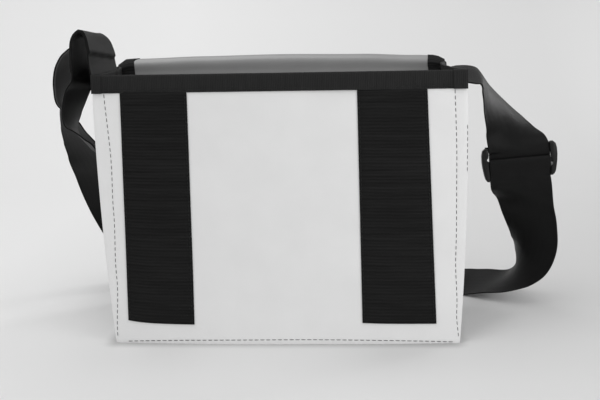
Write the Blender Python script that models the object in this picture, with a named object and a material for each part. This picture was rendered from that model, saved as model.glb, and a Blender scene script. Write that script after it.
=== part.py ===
"""A small tarpaulin messenger-style handbag, standing with its flap thrown back.

X runs to the right, Y to the back and Z up. The origin is the middle of the base's underside.
All lengths are in metres.
"""

import math

import bmesh
import bpy
from mathutils import Vector

# Sizes of the bag's body
MOUTH_WIDTH = 0.268
BASE_WIDTH = 0.254
MOUTH_DEPTH = 0.098
BASE_DEPTH = 0.114
HEIGHT = 0.198
SHEET_THICKNESS = 0.0009
SEAM_WIDTH = 0.012
FRONT_CROWN = 0.0015
SIDE_SWELL = 0.0022
SEAT_GAP = 0.0003

# Woven binding tape, folded over the raw edges
TAPE_THICKNESS = 0.0006
TAPE_DROP = 0.0125

# Hook-and-loop strips
STRIP_WIDTH = 0.050
STRIP_SPREAD = 0.172
STRIP_SHIFT = 0.004
STRIP_FOOT = 0.0155
LOOP_THICKNESS = 0.0016
HOOK_THICKNESS = 0.0014
HOOK_LENGTH = 0.054
HOOK_MARGIN = 0.015
CLOSED_CLEARANCE = 0.0004

# Flap
FLAP_INSET = 0.003
FLAP_FRONT_LENGTH = 0.0855

# Webbing of the shoulder strap, and the planes where its sewn ends stop
WEB_WIDTH = 0.046
WEB_THICKNESS = 0.0012
WEB_STEP = 0.006
STRAP_STAND = 0.016
STRAP_SETBACK = 0.025
STRAP_SEAM_LENGTH = 0.036

# Folded webbing loop on the left side
LOOP_WIDTH = 0.044
LOOP_SETBACK = 0.024
LOOP_REACH = 0.022

# Slider on the strap
SLIDER_HEIGHT = 0.0252
SLIDER_EAR = 0.0032
SLIDER_SIDE_GAP = 0.0006
SLIDER_FRONT = 0.0036
SLIDER_BACK = 0.0038
SLIDER_BAR = 0.004
SLIDER_CENTRE_BAR = 0.005
SLIDER_BEVEL = 0.0007
SLIDER_TRAVEL = 0.014
SLIDER_TILT_DEGREES = 4.5
SLIDER_PLACE_SHARES = (1.187, 0.105, 0.626)

# Places along the strap, as shares of the strap plane, half the base depth and the height,
# each with the direction from one selvedge to the other
LEFT_FALL_SHARES = (
    ((-1.075, 0.44, 1.064), (-0.06, 1.00, 0.00)),
    ((-1.137, 0.44, 1.078), (-0.12, 0.99, 0.00)),
    ((-1.206, 0.44, 1.035), (-0.16, 0.98, 0.00)),
    ((-1.230, 0.44, 0.955), (-0.20, 0.98, -0.04)),
    ((-1.228, 0.45, 0.861), (-0.28, 0.96, -0.06)),
    ((-1.158, 0.56, 0.757), (-0.51, 0.85, -0.09)),
    ((-1.116, 0.75, 0.690), (-0.77, 0.62, -0.15)),
    ((-1.100, 1.12, 0.525), (-0.95, 0.26, -0.17)),
    ((-1.055, 1.46, 0.409), (-0.98, -0.04, -0.20)),
    ((-1.010, 1.78, 0.290), (-0.85, -0.45, -0.27)),
    ((-0.975, 1.97, 0.180), (-0.60, -0.75, -0.28)),
    ((-0.925, 2.00, 0.101), (-0.30, -0.92, -0.25)),
)
# Floor run behind the bag, as shares of the strap plane and half the base depth, with the tilt
FLOOR_RUN_SHARES = (
    ((-0.793, 1.97), (-0.06, -0.97, -0.20)),
    ((-0.567, 2.12), (0.20, -0.97, -0.12)),
    ((-0.267, 2.28), (0.15, -0.98, -0.10)),
    ((0.000, 2.35), (0.00, -0.99, -0.10)),
    ((0.300, 2.35), (-0.10, -0.99, -0.10)),
    ((0.567, 2.26), (-0.30, -0.95, -0.12)),
    ((0.800, 2.02), (-0.50, -0.85, -0.15)),
    ((0.933, 1.78), (-0.62, -0.77, -0.18)),
)
RIGHT_RISE_SHARES = (
    ((1.040, 1.50, 0.050), (-0.66, -0.71, -0.22)),
    ((1.172, 1.06, 0.094), (-0.36, -0.89, -0.28)),
    ((1.266, 0.70, 0.172), (0.36, -0.83, -0.42)),
    ((1.266, 0.46, 0.270), (0.70, -0.66, -0.28)),
    ((1.246, 0.30, 0.362), (0.86, -0.50, -0.10)),
)
RIGHT_CREST_SHARES = (
    ((1.133, 0.27, 0.790), (0.76, 0.65, 0.00)),
    ((1.088, 0.38, 0.848), (0.46, 0.88, 0.06)),
    ((1.050, 0.44, 0.902), (0.20, 0.96, 0.16)),
)
LEFT_END_SHARES = (0.938, 1.0, 1.040)
RIGHT_END_SHARES = (0.895, 0.938, 0.950)
LEFT_END_SIDE_SHARES = (0.0, 0.16, 1.0)
RIGHT_END_SIDE_SHARES = (0.0, 0.20, 1.0)
LEFT_END_TILT_SHARE = 0.0
RIGHT_END_TILT_SHARE = 0.24

# Route of the side loop: how far out as a share of its reach, its height as a share of the bag's
SIDE_LOOP_SHARES = (
    ((0.06, 1.010), (0.00, 1.00, 0.00)),
    ((0.12, 1.075), (0.04, 1.00, -0.08)),
    ((0.26, 1.126), (0.08, 0.98, -0.15)),
    ((0.43, 1.136), (0.05, 0.98, -0.15)),
    ((0.56, 1.104), (-0.02, 0.99, -0.12)),
    ((0.60, 1.040), (-0.06, 1.00, -0.03)),
    ((0.66, 0.962), (-0.06, 1.00, -0.05)),
    ((0.88, 0.899), (-0.05, 0.98, -0.20)),
    ((1.05, 0.835), (-0.08, 0.94, -0.33)),
    ((0.99, 0.792), (-0.06, 0.94, -0.33)),
    ((0.60, 0.760), (-0.02, 0.95, -0.30)),
    ((0.28, 0.732), (0.00, 0.97, -0.24)),
    ((0.09, 0.706), (0.00, 0.98, -0.16)),
    ((0.01, 0.680), (0.00, 1.00, -0.06)),
)
LOOP_UPPER_SEAM_SHARES = (0.855, 0.93)
LOOP_LOWER_SEAM_SHARES = (0.650, 0.590)

# Counts of the grids that the sheets are drawn with
PANEL_COLUMNS = 16
PANEL_ROWS = 8
STRIP_COLUMNS = 4
SMOOTH_ANGLE = math.radians(40)

# Surface finishes as colour, roughness and metallic value
FINISHES = {
    "white_tarpaulin": ((0.74, 0.74, 0.74, 1.0), 0.42, 0.0),
    "grey_tarpaulin": ((0.26, 0.26, 0.26, 1.0), 0.45, 0.0),
    "black_webbing": ((0.018, 0.018, 0.018, 1.0), 0.60, 0.0),
    "black_binding": ((0.026, 0.026, 0.026, 1.0), 0.75, 0.0),
    "black_loop_pile": ((0.014, 0.014, 0.014, 1.0), 0.95, 0.0),
    "black_plastic": ((0.015, 0.015, 0.015, 1.0), 0.38, 0.0),
}

# Lengths that follow from the sizes above
LEAN = math.atan2((BASE_DEPTH - MOUTH_DEPTH) / 2, HEIGHT)
BOUND_EDGE = SEAT_GAP + TAPE_THICKNESS
FLAP_WIDTH = MOUTH_WIDTH - 2 * FLAP_INSET
FLAP_HALF_THICKNESS = SHEET_THICKNESS / 2 + BOUND_EDGE
RIM_TOP = HEIGHT + BOUND_EDGE
HINGE_Y = MOUTH_DEPTH / 2 + SEAT_GAP + FLAP_HALF_THICKNESS
HINGE_Z = RIM_TOP + SEAT_GAP + FLAP_HALF_THICKNESS
STRIP_STAND = SEAT_GAP + LOOP_THICKNESS
HOOK_STAND = SHEET_THICKNESS / 2 + SEAT_GAP + HOOK_THICKNESS
FLAP_TOP_LENGTH = (
    HINGE_Y + MOUTH_DEPTH / 2 + FRONT_CROWN + STRIP_STAND + CLOSED_CLEARANCE
    + HOOK_STAND - FLAP_HALF_THICKNESS
)
STRAP_PLANE = MOUTH_WIDTH / 2 + STRAP_STAND
SLIDER_ANGLE = math.radians(SLIDER_TILT_DEGREES)


def clear_scene():
    for item in list(bpy.data.objects):
        bpy.data.objects.remove(item, do_unlink=True)


def make_material(name):
    colour, roughness, metallic = FINISHES[name]
    material = bpy.data.materials.new(name)
    material.use_nodes = True
    shader = material.node_tree.nodes["Principled BSDF"]
    shader.inputs["Base Color"].default_value = colour
    shader.inputs["Roughness"].default_value = roughness
    shader.inputs["Metallic"].default_value = metallic
    return material


def finish_object(name, mesh_data, finish, origin):
    """Makes an object of the bmesh, with its origin at the given point."""
    bmesh.ops.translate(mesh_data, verts=mesh_data.verts, vec=-origin)
    bmesh.ops.recalc_face_normals(mesh_data, faces=mesh_data.faces)
    mesh = bpy.data.meshes.new(name)
    mesh_data.to_mesh(mesh)
    mesh_data.free()
    mesh.shade_smooth()
    mesh.set_sharp_from_angle(angle=SMOOTH_ANGLE)
    mesh.materials.append(make_material(finish))
    item = bpy.data.objects.new(name, mesh)
    item.location = origin
    bpy.context.scene.collection.objects.link(item)
    return item


def loft(name, rings, finish, origin=Vector()):
    """Closed solid through rings of points, with a flat cap at each end."""
    mesh_data = bmesh.new()
    rows = [[mesh_data.verts.new(point) for point in ring] for ring in rings]
    for row, following in zip(rows, rows[1:]):
        for index in range(len(row)):
            after = (index + 1) % len(row)
            mesh_data.faces.new((row[index], row[after], following[after], following[index]))
    mesh_data.faces.new(rows[0])
    mesh_data.faces.new(rows[-1])
    return finish_object(name, mesh_data, finish, origin)


def sheet(name, surface, columns, rows, finish, origin=Vector()):
    """Closed thin solid between surface(u, v, 0) and surface(u, v, 1)."""
    mesh_data = bmesh.new()
    sides = []
    for side in (0, 1):
        grid = []
        for column in range(columns + 1):
            u = column / columns
            grid.append([mesh_data.verts.new(surface(u, row / rows, side)) for row in range(rows + 1)])
        sides.append(grid)
    for grid in sides:
        for i in range(columns):
            for j in range(rows):
                mesh_data.faces.new((grid[i][j], grid[i + 1][j], grid[i + 1][j + 1], grid[i][j + 1]))
    outer, inner = sides
    rim = [(i, 0) for i in range(columns)] + [(columns, j) for j in range(rows)]
    rim += [(columns - i, rows) for i in range(columns)] + [(0, rows - j) for j in range(rows)]
    for (a, b), (c, d) in zip(rim, rim[1:] + rim[:1]):
        mesh_data.faces.new((outer[a][b], outer[c][d], inner[c][d], inner[a][b]))
    return finish_object(name, mesh_data, finish, origin)


def mix(start, end, share):
    return start + (end - start) * share


def half_width(z):
    """Outer half width of the bag's body at a height; the sides swell a little between the ends."""
    share = z / HEIGHT
    return mix(BASE_WIDTH, MOUTH_WIDTH, share) / 2 + SIDE_SWELL * 4 * share * (1 - share)


def half_depth(z):
    """Outer half depth of the bag's body at a height."""
    return mix(BASE_DEPTH, MOUTH_DEPTH, z / HEIGHT) / 2


def front_y(x, z):
    """Outer face of the front panel, which swells a little towards the mouth."""
    across = 1 - (x / half_width(z)) ** 2
    upward = 1 - (1 - min(z / HEIGHT, 1)) ** 2
    return -half_depth(z) - FRONT_CROWN * across * upward


def build_front_panel():
    def surface(u, v, side):
        z = HEIGHT * v
        x = mix(-half_width(z), half_width(z), u)
        return Vector((x, front_y(x, z) + SHEET_THICKNESS * side, z))

    sheet("front_panel", surface, PANEL_COLUMNS, PANEL_ROWS, "white_tarpaulin")


def build_back_panel():
    """The back panel stands as high as the bound rim and carries the flap."""
    def surface(u, v, side):
        z = RIM_TOP * v
        x = mix(-half_width(z), half_width(z), u)
        return Vector((x, half_depth(z) - SHEET_THICKNESS * side, z))

    sheet("back_panel", surface, 1, PANEL_ROWS, "grey_tarpaulin")


def build_gusset(side_name, direction):
    """Side panel as a channel, its seam flanges turned in behind the front and back panels."""
    rings = []
    for row in range(PANEL_ROWS + 1):
        z = HEIGHT * row / PANEL_ROWS
        outer_x = half_width(z)
        inner_x = outer_x - SHEET_THICKNESS
        lip_x = outer_x - SEAM_WIDTH
        outer_y = half_depth(z) - SHEET_THICKNESS - SEAT_GAP
        inner_y = outer_y - SHEET_THICKNESS
        section = (
            (outer_x, -outer_y), (outer_x, outer_y), (lip_x, outer_y), (lip_x, inner_y),
            (inner_x, inner_y), (inner_x, -inner_y), (lip_x, -inner_y), (lip_x, -outer_y),
        )
        rings.append([Vector((direction * x, y, z)) for x, y in section])
    loft("gusset_" + side_name, rings, "white_tarpaulin")


def rectangle(half_x, half_y, z):
    corners = ((-half_x, -half_y), (half_x, -half_y), (half_x, half_y), (-half_x, half_y))
    return [Vector((x, y, z)) for x, y in corners]


def build_base_panel():
    """Bottom panel with its seam allowance turned up inside the walls."""
    def outline(z, inset):
        across = half_width(z) - SHEET_THICKNESS - SEAT_GAP - inset
        along = half_depth(z) - 2 * (SHEET_THICKNESS + SEAT_GAP) - inset
        return rectangle(across, along, z)

    rings = (
        outline(0, 0),
        outline(SEAM_WIDTH, 0),
        outline(SEAM_WIDTH, SHEET_THICKNESS),
        outline(SHEET_THICKNESS, SHEET_THICKNESS),
    )
    loft("base_panel", rings, "white_tarpaulin")


def inner_face_y(z):
    """Clear of the seam flange behind the front panel."""
    return -half_depth(z) + 2 * (SHEET_THICKNESS + SEAT_GAP)


def build_binding_front():
    """Tape folded over the top edge of the front panel, from gusset to gusset."""
    low = HEIGHT - TAPE_DROP
    seat_top = HEIGHT + SEAT_GAP
    reach = half_width(low) - SHEET_THICKNESS - SEAT_GAP
    rings = []
    for column in range(PANEL_COLUMNS + 1):
        x = mix(-reach, reach, column / PANEL_COLUMNS)
        section = (
            (front_y(x, low) - BOUND_EDGE, low),
            (front_y(x, HEIGHT) - BOUND_EDGE, RIM_TOP),
            (inner_face_y(HEIGHT) + TAPE_THICKNESS, RIM_TOP),
            (inner_face_y(low) + TAPE_THICKNESS, low),
            (inner_face_y(low), low),
            (inner_face_y(HEIGHT), seat_top),
            (front_y(x, HEIGHT) - SEAT_GAP, seat_top),
            (front_y(x, low) - SEAT_GAP, low),
        )
        rings.append([Vector((x, y, z)) for y, z in section])
    loft("binding_front", rings, "black_binding")


def build_binding_side(side_name, direction):
    """Tape folded over the top edge of a gusset, between the front and back seams."""
    low = HEIGHT - TAPE_DROP
    seat_top = HEIGHT + SEAT_GAP
    start = inner_face_y(HEIGHT) + TAPE_THICKNESS + SEAT_GAP
    end = -inner_face_y(HEIGHT)
    inner_low = half_width(low) - SHEET_THICKNESS - SEAT_GAP
    inner_top = half_width(HEIGHT) - SHEET_THICKNESS - SEAT_GAP
    section = (
        (half_width(low) + BOUND_EDGE, low),
        (half_width(HEIGHT) + BOUND_EDGE, RIM_TOP),
        (inner_top - TAPE_THICKNESS, RIM_TOP),
        (inner_low - TAPE_THICKNESS, low),
        (inner_low, low),
        (inner_top, seat_top),
        (half_width(HEIGHT) + SEAT_GAP, seat_top),
        (half_width(low) + SEAT_GAP, low),
    )
    rings = [[Vector((direction * x, y, z)) for x, z in section] for y in (start, end)]
    loft("binding_" + side_name, rings, "black_binding")


def strip_x(direction, across_share):
    """Place across a hook or loop tape; the pair is sewn on a little left of the middle."""
    return direction * STRIP_SPREAD / 2 - STRIP_SHIFT + STRIP_WIDTH * (across_share - 1 / 2)


def build_loop_strip(side_name, direction):
    """Soft loop tape sewn down the front panel, from the binding almost to the base."""
    top = HEIGHT - TAPE_DROP - SEAT_GAP

    def surface(u, v, side):
        z = mix(STRIP_FOOT, top, v)
        x = strip_x(direction, u)
        return Vector((x, front_y(x, z) - SEAT_GAP - LOOP_THICKNESS * side, z))

    sheet("loop_strip_" + side_name, surface, STRIP_COLUMNS, PANEL_ROWS, "black_loop_pile")


def flap_point(x, along, out):
    """A place on the hanging flap: across, down from the hinge, and out from its middle plane."""
    y = HINGE_Y + along * math.sin(LEAN) + out * math.cos(LEAN)
    z = HINGE_Z - along * math.cos(LEAN) + out * math.sin(LEAN)
    return Vector((x, y, z))


def build_flap_sheet(name, start, end, origin):
    def surface(u, v, side):
        x = FLAP_WIDTH * (u - 1 / 2)
        return flap_point(x, mix(start, end, v), SHEET_THICKNESS * (side - 1 / 2))

    sheet(name, surface, 1, 1, "grey_tarpaulin", origin)


def binding_section():
    """Folded tape round an edge: how far in from the edge, and how far off the middle plane."""
    inside = SHEET_THICKNESS / 2 + SEAT_GAP
    return (
        (TAPE_DROP, -FLAP_HALF_THICKNESS), (-BOUND_EDGE, -FLAP_HALF_THICKNESS),
        (-BOUND_EDGE, FLAP_HALF_THICKNESS), (TAPE_DROP, FLAP_HALF_THICKNESS),
        (TAPE_DROP, inside), (-SEAT_GAP, inside), (-SEAT_GAP, -inside), (TAPE_DROP, -inside),
    )


def build_flap_binding(name, path, origin):
    """Tape along a path of flap edge points, each with the way in from the edge."""
    rings = []
    for (x, along), (in_x, in_along) in path:
        rings.append([
            flap_point(x + in_x * inward, along + in_along * inward, out)
            for inward, out in binding_section()
        ])
    loft(name, rings, "black_binding", origin)


def build_flap():
    """Flap in two leaves: over the mouth when closed, and down the front."""
    hinge = Vector((0, HINGE_Y, HINGE_Z))
    fold = flap_point(0, FLAP_TOP_LENGTH, FLAP_HALF_THICKNESS)
    top_end = FLAP_TOP_LENGTH - SEAT_GAP / 2
    front_start = FLAP_TOP_LENGTH + SEAT_GAP / 2
    front_end = FLAP_TOP_LENGTH + FLAP_FRONT_LENGTH
    edge = FLAP_WIDTH / 2
    build_flap_sheet("flap_top", 0, top_end, hinge)
    build_flap_sheet("flap_front", front_start, front_end, fold)
    for side_name, direction in (("left", -1), ("right", 1)):
        path = (
            ((direction * edge, 0), (-direction, 0)),
            ((direction * edge, top_end), (-direction, 0)),
        )
        build_flap_binding("flap_top_binding_" + side_name, path, hinge)
    path = (
        ((-edge, front_start), (1, 0)), ((-edge, front_end), (1, -1)),
        ((edge, front_end), (-1, -1)), ((edge, front_start), (-1, 0)),
    )
    build_flap_binding("flap_front_binding", path, fold)
    for side_name, direction in (("left", -1), ("right", 1)):
        build_hook_strip(side_name, direction, front_start + HOOK_MARGIN, fold)


def build_hook_strip(side_name, direction, start, origin):
    """Hook tape on the face that meets the loop tape when the flap is closed."""
    def surface(u, v, side):
        x = strip_x(direction, u)
        out = SHEET_THICKNESS / 2 + SEAT_GAP + HOOK_THICKNESS * side
        return flap_point(x, start + HOOK_LENGTH * v, out)

    sheet("hook_strip_" + side_name, surface, 1, 1, "black_loop_pile", origin)


def smooth_stations(stations):
    """Points on a smooth curve through the stations, with the width direction carried along."""
    places = [Vector(place) for place, across in stations]
    acrosses = [Vector(across).normalized() for place, across in stations]
    times = [0.0]
    for place, following in zip(places, places[1:]):
        times.append(times[-1] + (following - place).length)
    last = len(places) - 1

    def slopes(values):
        found = []
        for index in range(last + 1):
            before = max(index - 1, 0)
            after = min(index + 1, last)
            found.append((values[after] - values[before]) / (times[after] - times[before]))
        return found

    place_slopes = slopes(places)
    across_slopes = slopes(acrosses)
    curve = []
    for index in range(last):
        span = times[index + 1] - times[index]
        steps = max(1, math.ceil(span / WEB_STEP))
        for step in range(steps + (index == last - 1)):
            share = step / steps
            curve.append(tuple(
                hermite(values[index], values[index + 1], rates[index], rates[index + 1], span, share)
                for values, rates in ((places, place_slopes), (acrosses, across_slopes))
            ))
    return curve


def hermite(start, end, start_slope, end_slope, span, share):
    square = share * share
    cube = square * share
    return (
        start * (2 * cube - 3 * square + 1) + start_slope * (span * (cube - 2 * square + share))
        + end * (3 * square - 2 * cube) + end_slope * (span * (cube - square))
    )


def band_rings(stations, width, start_x=None, end_x=None):
    """Rings of a flat band; an end given an X is cut square to that axis."""
    curve = smooth_stations(stations)
    last = len(curve) - 1
    rings = []
    for index, (centre, across) in enumerate(curve):
        ahead = curve[min(index + 1, last)][0] - curve[max(index - 1, 0)][0]
        ahead.normalize()
        across = (across - ahead * across.dot(ahead)).normalized()
        out = ahead.cross(across)
        ring = []
        for wide, thick in ((-1, -1), (1, -1), (1, 1), (-1, 1)):
            ring.append(centre + across * (wide * width / 2) + out * (thick * WEB_THICKNESS / 2))
        rings.append(ring)
    for ring, cut_x in ((rings[0], start_x), (rings[-1], end_x)):
        if cut_x is not None:
            for corner in ring:
                corner.x = cut_x
    return rings


def gusset_web_x(z):
    """Middle of webbing sewn straight onto a gusset, below its bound rim."""
    return half_width(z) + SEAT_GAP + WEB_THICKNESS / 2


def side_face_x(z):
    """Middle of webbing sewn outside a gusset's bound rim."""
    return gusset_web_x(z) + BOUND_EDGE


def build_strap_end(side_name, direction, height_shares, side_shares, tilt):
    """Sewn end of the strap: up the outside of the gusset, then arching out to the strap plane."""
    turned = Vector((0, 1, tilt)).normalized()
    stations = []
    seam_top = HEIGHT * height_shares[0]
    for share in (0, 1 / 2):
        z = seam_top - STRAP_SEAM_LENGTH * (1 - share)
        stations.append(((direction * side_face_x(z), STRAP_SETBACK, z), (0, 1, 0)))
    for height_share, side_share in zip(height_shares, side_shares):
        z = HEIGHT * height_share
        x = mix(side_face_x(seam_top), STRAP_PLANE, side_share)
        across = Vector((0, 1, 0)).lerp(turned, side_share)
        stations.append(((direction * x, STRAP_SETBACK, z), across))
    rings = band_rings(stations, WEB_WIDTH, end_x=direction * STRAP_PLANE)
    loft("strap_end_" + side_name, rings, "black_webbing")


def strap_place(shares):
    return (shares[0] * STRAP_PLANE, shares[1] * BASE_DEPTH / 2, shares[2] * HEIGHT)


def slider_axes():
    """Place of the slider, the way along its bars, and the way down the webbing."""
    bars = Vector((math.cos(SLIDER_ANGLE), 0, math.sin(SLIDER_ANGLE)))
    down = Vector((math.sin(SLIDER_ANGLE), 0, -math.cos(SLIDER_ANGLE)))
    return Vector(strap_place(SLIDER_PLACE_SHARES)), bars, down


def build_shoulder_strap():
    """Webbing from the left end round behind the bag over the floor and up to the right end."""
    start_x = -STRAP_PLANE - SEAT_GAP
    end_x = STRAP_PLANE + SEAT_GAP
    stations = [((start_x, STRAP_SETBACK, HEIGHT * LEFT_END_SHARES[-1]), (0, 1, LEFT_END_TILT_SHARE))]
    for shares, across in LEFT_FALL_SHARES:
        stations.append((strap_place(shares), across))
    for shares, across in FLOOR_RUN_SHARES:
        drop = abs(Vector(across).normalized().z)
        z = SEAT_GAP + WEB_THICKNESS / 2 + WEB_WIDTH / 2 * drop
        place = (shares[0] * STRAP_PLANE, shares[1] * BASE_DEPTH / 2, z)
        stations.append((place, across))
    for shares, across in RIGHT_RISE_SHARES:
        stations.append((strap_place(shares), across))
    middle, bars, down = slider_axes()
    straight_low = SLIDER_HEIGHT / 2 + SLIDER_TRAVEL + SLIDER_BEVEL
    straight_high = SLIDER_HEIGHT / 2 + SLIDER_BEVEL
    for along in (straight_low + WEB_STEP, straight_low, 0, -straight_high, -straight_high - WEB_STEP):
        stations.append((middle + down * along, bars))
    for shares, across in RIGHT_CREST_SHARES:
        stations.append((strap_place(shares), across))
    end_across = (0, 1, RIGHT_END_TILT_SHARE)
    stations.append(((end_x, STRAP_SETBACK, HEIGHT * RIGHT_END_SHARES[-1]), end_across))
    rings = band_rings(stations, WEB_WIDTH, start_x, end_x)
    for ring in rings:
        lift = max(0, SEAT_GAP - min(corner.z for corner in ring))
        for corner in ring:
            corner.z += lift
    axis = Vector((0, STRAP_SETBACK, HEIGHT))
    loft("shoulder_strap", rings, "black_webbing", axis)


def build_side_loop():
    """Folded webbing loop, both ends sewn to the outside of the left gusset."""
    stations = []
    for share in LOOP_UPPER_SEAM_SHARES:
        z = HEIGHT * share
        stations.append(((-side_face_x(z), -LOOP_SETBACK, z), (0, 1, 0)))
    for (out_share, height_share), across in SIDE_LOOP_SHARES:
        z = HEIGHT * height_share
        x = -gusset_web_x(min(z, HEIGHT)) - LOOP_REACH * out_share
        stations.append(((x, -LOOP_SETBACK, z), across))
    for share in LOOP_LOWER_SEAM_SHARES:
        z = HEIGHT * share
        stations.append(((-gusset_web_x(z), -LOOP_SETBACK, z), (0, 1, 0)))
    loft("side_loop", band_rings(stations, LOOP_WIDTH), "black_webbing")


def box_rings(low, high):
    rings = []
    for y in (low[1], high[1]):
        rings.append([
            Vector((low[0], y, low[2])), Vector((high[0], y, low[2])),
            Vector((high[0], y, high[2])), Vector((low[0], y, high[2])),
        ])
    return rings


def place_on_web(item):
    middle, bars, down = slider_axes()
    item.location = middle
    item.rotation_euler = (0, -SLIDER_ANGLE, 0)


def build_slider():
    """Three-bar slider: outer bars behind the webbing, and a raised centre bar in front of it."""
    inner = WEB_WIDTH / 2 + SLIDER_SIDE_GAP
    outer = inner + SLIDER_EAR
    tall = SLIDER_HEIGHT / 2
    near = -WEB_THICKNESS / 2 - SEAT_GAP
    far = WEB_THICKNESS / 2 + SEAT_GAP
    left_ear = box_rings((-outer, -SLIDER_FRONT, -tall), (-inner, SLIDER_BACK, tall))
    slider = loft("slider", left_ear, "black_plastic")
    additions = {
        "slider_right_ear": ((inner, -SLIDER_FRONT, -tall), (outer, SLIDER_BACK, tall)),
        "slider_upper_bar": ((-outer, far, tall - SLIDER_BAR), (outer, SLIDER_BACK, tall)),
        "slider_lower_bar": ((-outer, far, -tall), (outer, SLIDER_BACK, SLIDER_BAR - tall)),
        "slider_centre_bar": (
            (-outer, -SLIDER_FRONT, -SLIDER_CENTRE_BAR / 2), (outer, near, SLIDER_CENTRE_BAR / 2),
        ),
    }
    for name, (low, high) in additions.items():
        guide = loft(name, box_rings(low, high), "black_plastic")
        place_on_web(guide)
        guide.hide_render = True
        guide.display_type = "WIRE"
        joint = slider.modifiers.new(name, "BOOLEAN")
        joint.operation = "UNION"
        joint.solver = "EXACT"
        joint.object = guide
    place_on_web(slider)
    rounding = slider.modifiers.new("rounded_edges", "BEVEL")
    rounding.width = SLIDER_BEVEL
    rounding.segments = 2
    rounding.limit_method = "ANGLE"


def build_bag():
    clear_scene()
    build_front_panel()
    build_back_panel()
    build_base_panel()
    build_binding_front()
    for side_name, direction in (("left", -1), ("right", 1)):
        build_gusset(side_name, direction)
        build_binding_side(side_name, direction)
        build_loop_strip(side_name, direction)
    build_flap()
    build_side_loop()
    build_strap_end("left", -1, LEFT_END_SHARES, LEFT_END_SIDE_SHARES, LEFT_END_TILT_SHARE)
    build_strap_end("right", 1, RIGHT_END_SHARES, RIGHT_END_SIDE_SHARES, RIGHT_END_TILT_SHARE)
    build_shoulder_strap()
    build_slider()


build_bag()
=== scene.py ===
import math

import bpy
import numpy as np
from mathutils import Matrix, Vector


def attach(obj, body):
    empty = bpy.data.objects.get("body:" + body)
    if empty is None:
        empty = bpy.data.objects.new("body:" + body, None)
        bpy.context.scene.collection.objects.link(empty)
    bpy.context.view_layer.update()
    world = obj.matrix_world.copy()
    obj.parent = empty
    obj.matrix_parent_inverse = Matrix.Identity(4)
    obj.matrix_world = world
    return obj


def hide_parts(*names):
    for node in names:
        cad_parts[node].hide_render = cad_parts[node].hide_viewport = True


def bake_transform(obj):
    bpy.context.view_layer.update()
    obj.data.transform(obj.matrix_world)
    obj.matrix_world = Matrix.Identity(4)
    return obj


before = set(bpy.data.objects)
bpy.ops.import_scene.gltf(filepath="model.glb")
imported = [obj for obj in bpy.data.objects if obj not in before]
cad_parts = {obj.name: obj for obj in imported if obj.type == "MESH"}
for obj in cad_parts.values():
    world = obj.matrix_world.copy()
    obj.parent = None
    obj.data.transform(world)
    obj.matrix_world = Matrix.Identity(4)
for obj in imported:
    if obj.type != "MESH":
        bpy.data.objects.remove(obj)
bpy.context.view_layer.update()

# The bag's sizes in metres, as the solids have them
MOUTH_WIDTH = 0.268
BASE_WIDTH = 0.254
MOUTH_DEPTH = 0.098
BASE_DEPTH = 0.114
HEIGHT = 0.198
SHEET = 0.0009
SEAM_WIDTH = 0.012
FRONT_CROWN = 0.0015
SIDE_SWELL = 0.0022
SEAT_GAP = 0.0003
TAPE = 0.0006
TAPE_DROP = 0.0125
STRIP_WIDTH = 0.050
STRIP_SPREAD = 0.172
STRIP_SHIFT = 0.004
STRIP_FOOT = 0.0155
LOOP_THICKNESS = 0.0016
HOOK_THICKNESS = 0.0014
HOOK_LENGTH = 0.054
HOOK_MARGIN = 0.015
FLAP_INSET = 0.003
FLAP_FRONT_LENGTH = 0.0855
FLAP_TOP_LENGTH = 0.10425
WEB_WIDTH = 0.046
WEB_THICKNESS = 0.0012
STRAP_STAND = 0.016
STRAP_SETBACK = 0.025
STRAP_SEAM_LENGTH = 0.036
LOOP_WIDTH = 0.044
LOOP_SETBACK = 0.024
SLIDER_HEIGHT = 0.0252
SLIDER_EAR = 0.0032
SLIDER_SIDE_GAP = 0.0006
SLIDER_FRONT = 0.0036
SLIDER_BACK = 0.0038
SLIDER_BAR = 0.004
SLIDER_CENTRE_BAR = 0.005
SLIDER_ANGLE = math.radians(4.5)
SLIDER_PLACE_SHARES = (1.187, 0.105, 0.626)

# Places along the webbing, as shares of the strap plane, half the base depth and the height
STRAP_LEFT_SHARES = (
    ((-1.089, 0.438, 1.086), (0.05, 1.00, 0.00)),
    ((-1.118, 0.438, 1.073), (0.05, 1.00, 0.00)),
    ((-1.143, 0.438, 1.055), (0.05, 1.00, 0.00)),
    ((-1.173, 0.438, 1.014), (0.05, 1.00, 0.00)),
    ((-1.188, 0.438, 0.968), (0.04, 1.00, 0.00)),
    ((-1.197, 0.439, 0.928), (-0.01, 1.00, -0.01)),
    ((-1.202, 0.437, 0.897), (-0.07, 1.00, -0.04)),
    ((-1.204, 0.445, 0.866), (-0.21, 0.97, -0.09)),
    ((-1.192, 0.465, 0.830), (-0.38, 0.91, -0.15)),
    ((-1.172, 0.494, 0.790), (-0.52, 0.83, -0.18)),
    ((-1.155, 0.530, 0.744), (-0.61, 0.77, -0.22)),
    ((-1.128, 0.600, 0.689), (-0.70, 0.67, -0.23)),
    ((-1.095, 0.740, 0.625), (-0.81, 0.53, -0.24)),
    ((-1.078, 0.980, 0.550), (-0.90, 0.35, -0.20)),
    ((-1.064, 1.220, 0.470), (-0.95, 0.15, -0.18)),
    ((-1.045, 1.480, 0.385), (-0.98, -0.04, -0.20)),
    ((-1.010, 1.780, 0.290), (-0.85, -0.45, -0.27)),
    ((-0.975, 1.970, 0.180), (-0.60, -0.75, -0.28)),
    ((-0.925, 2.000, 0.101), (-0.30, -0.92, -0.25)),
)
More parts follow.
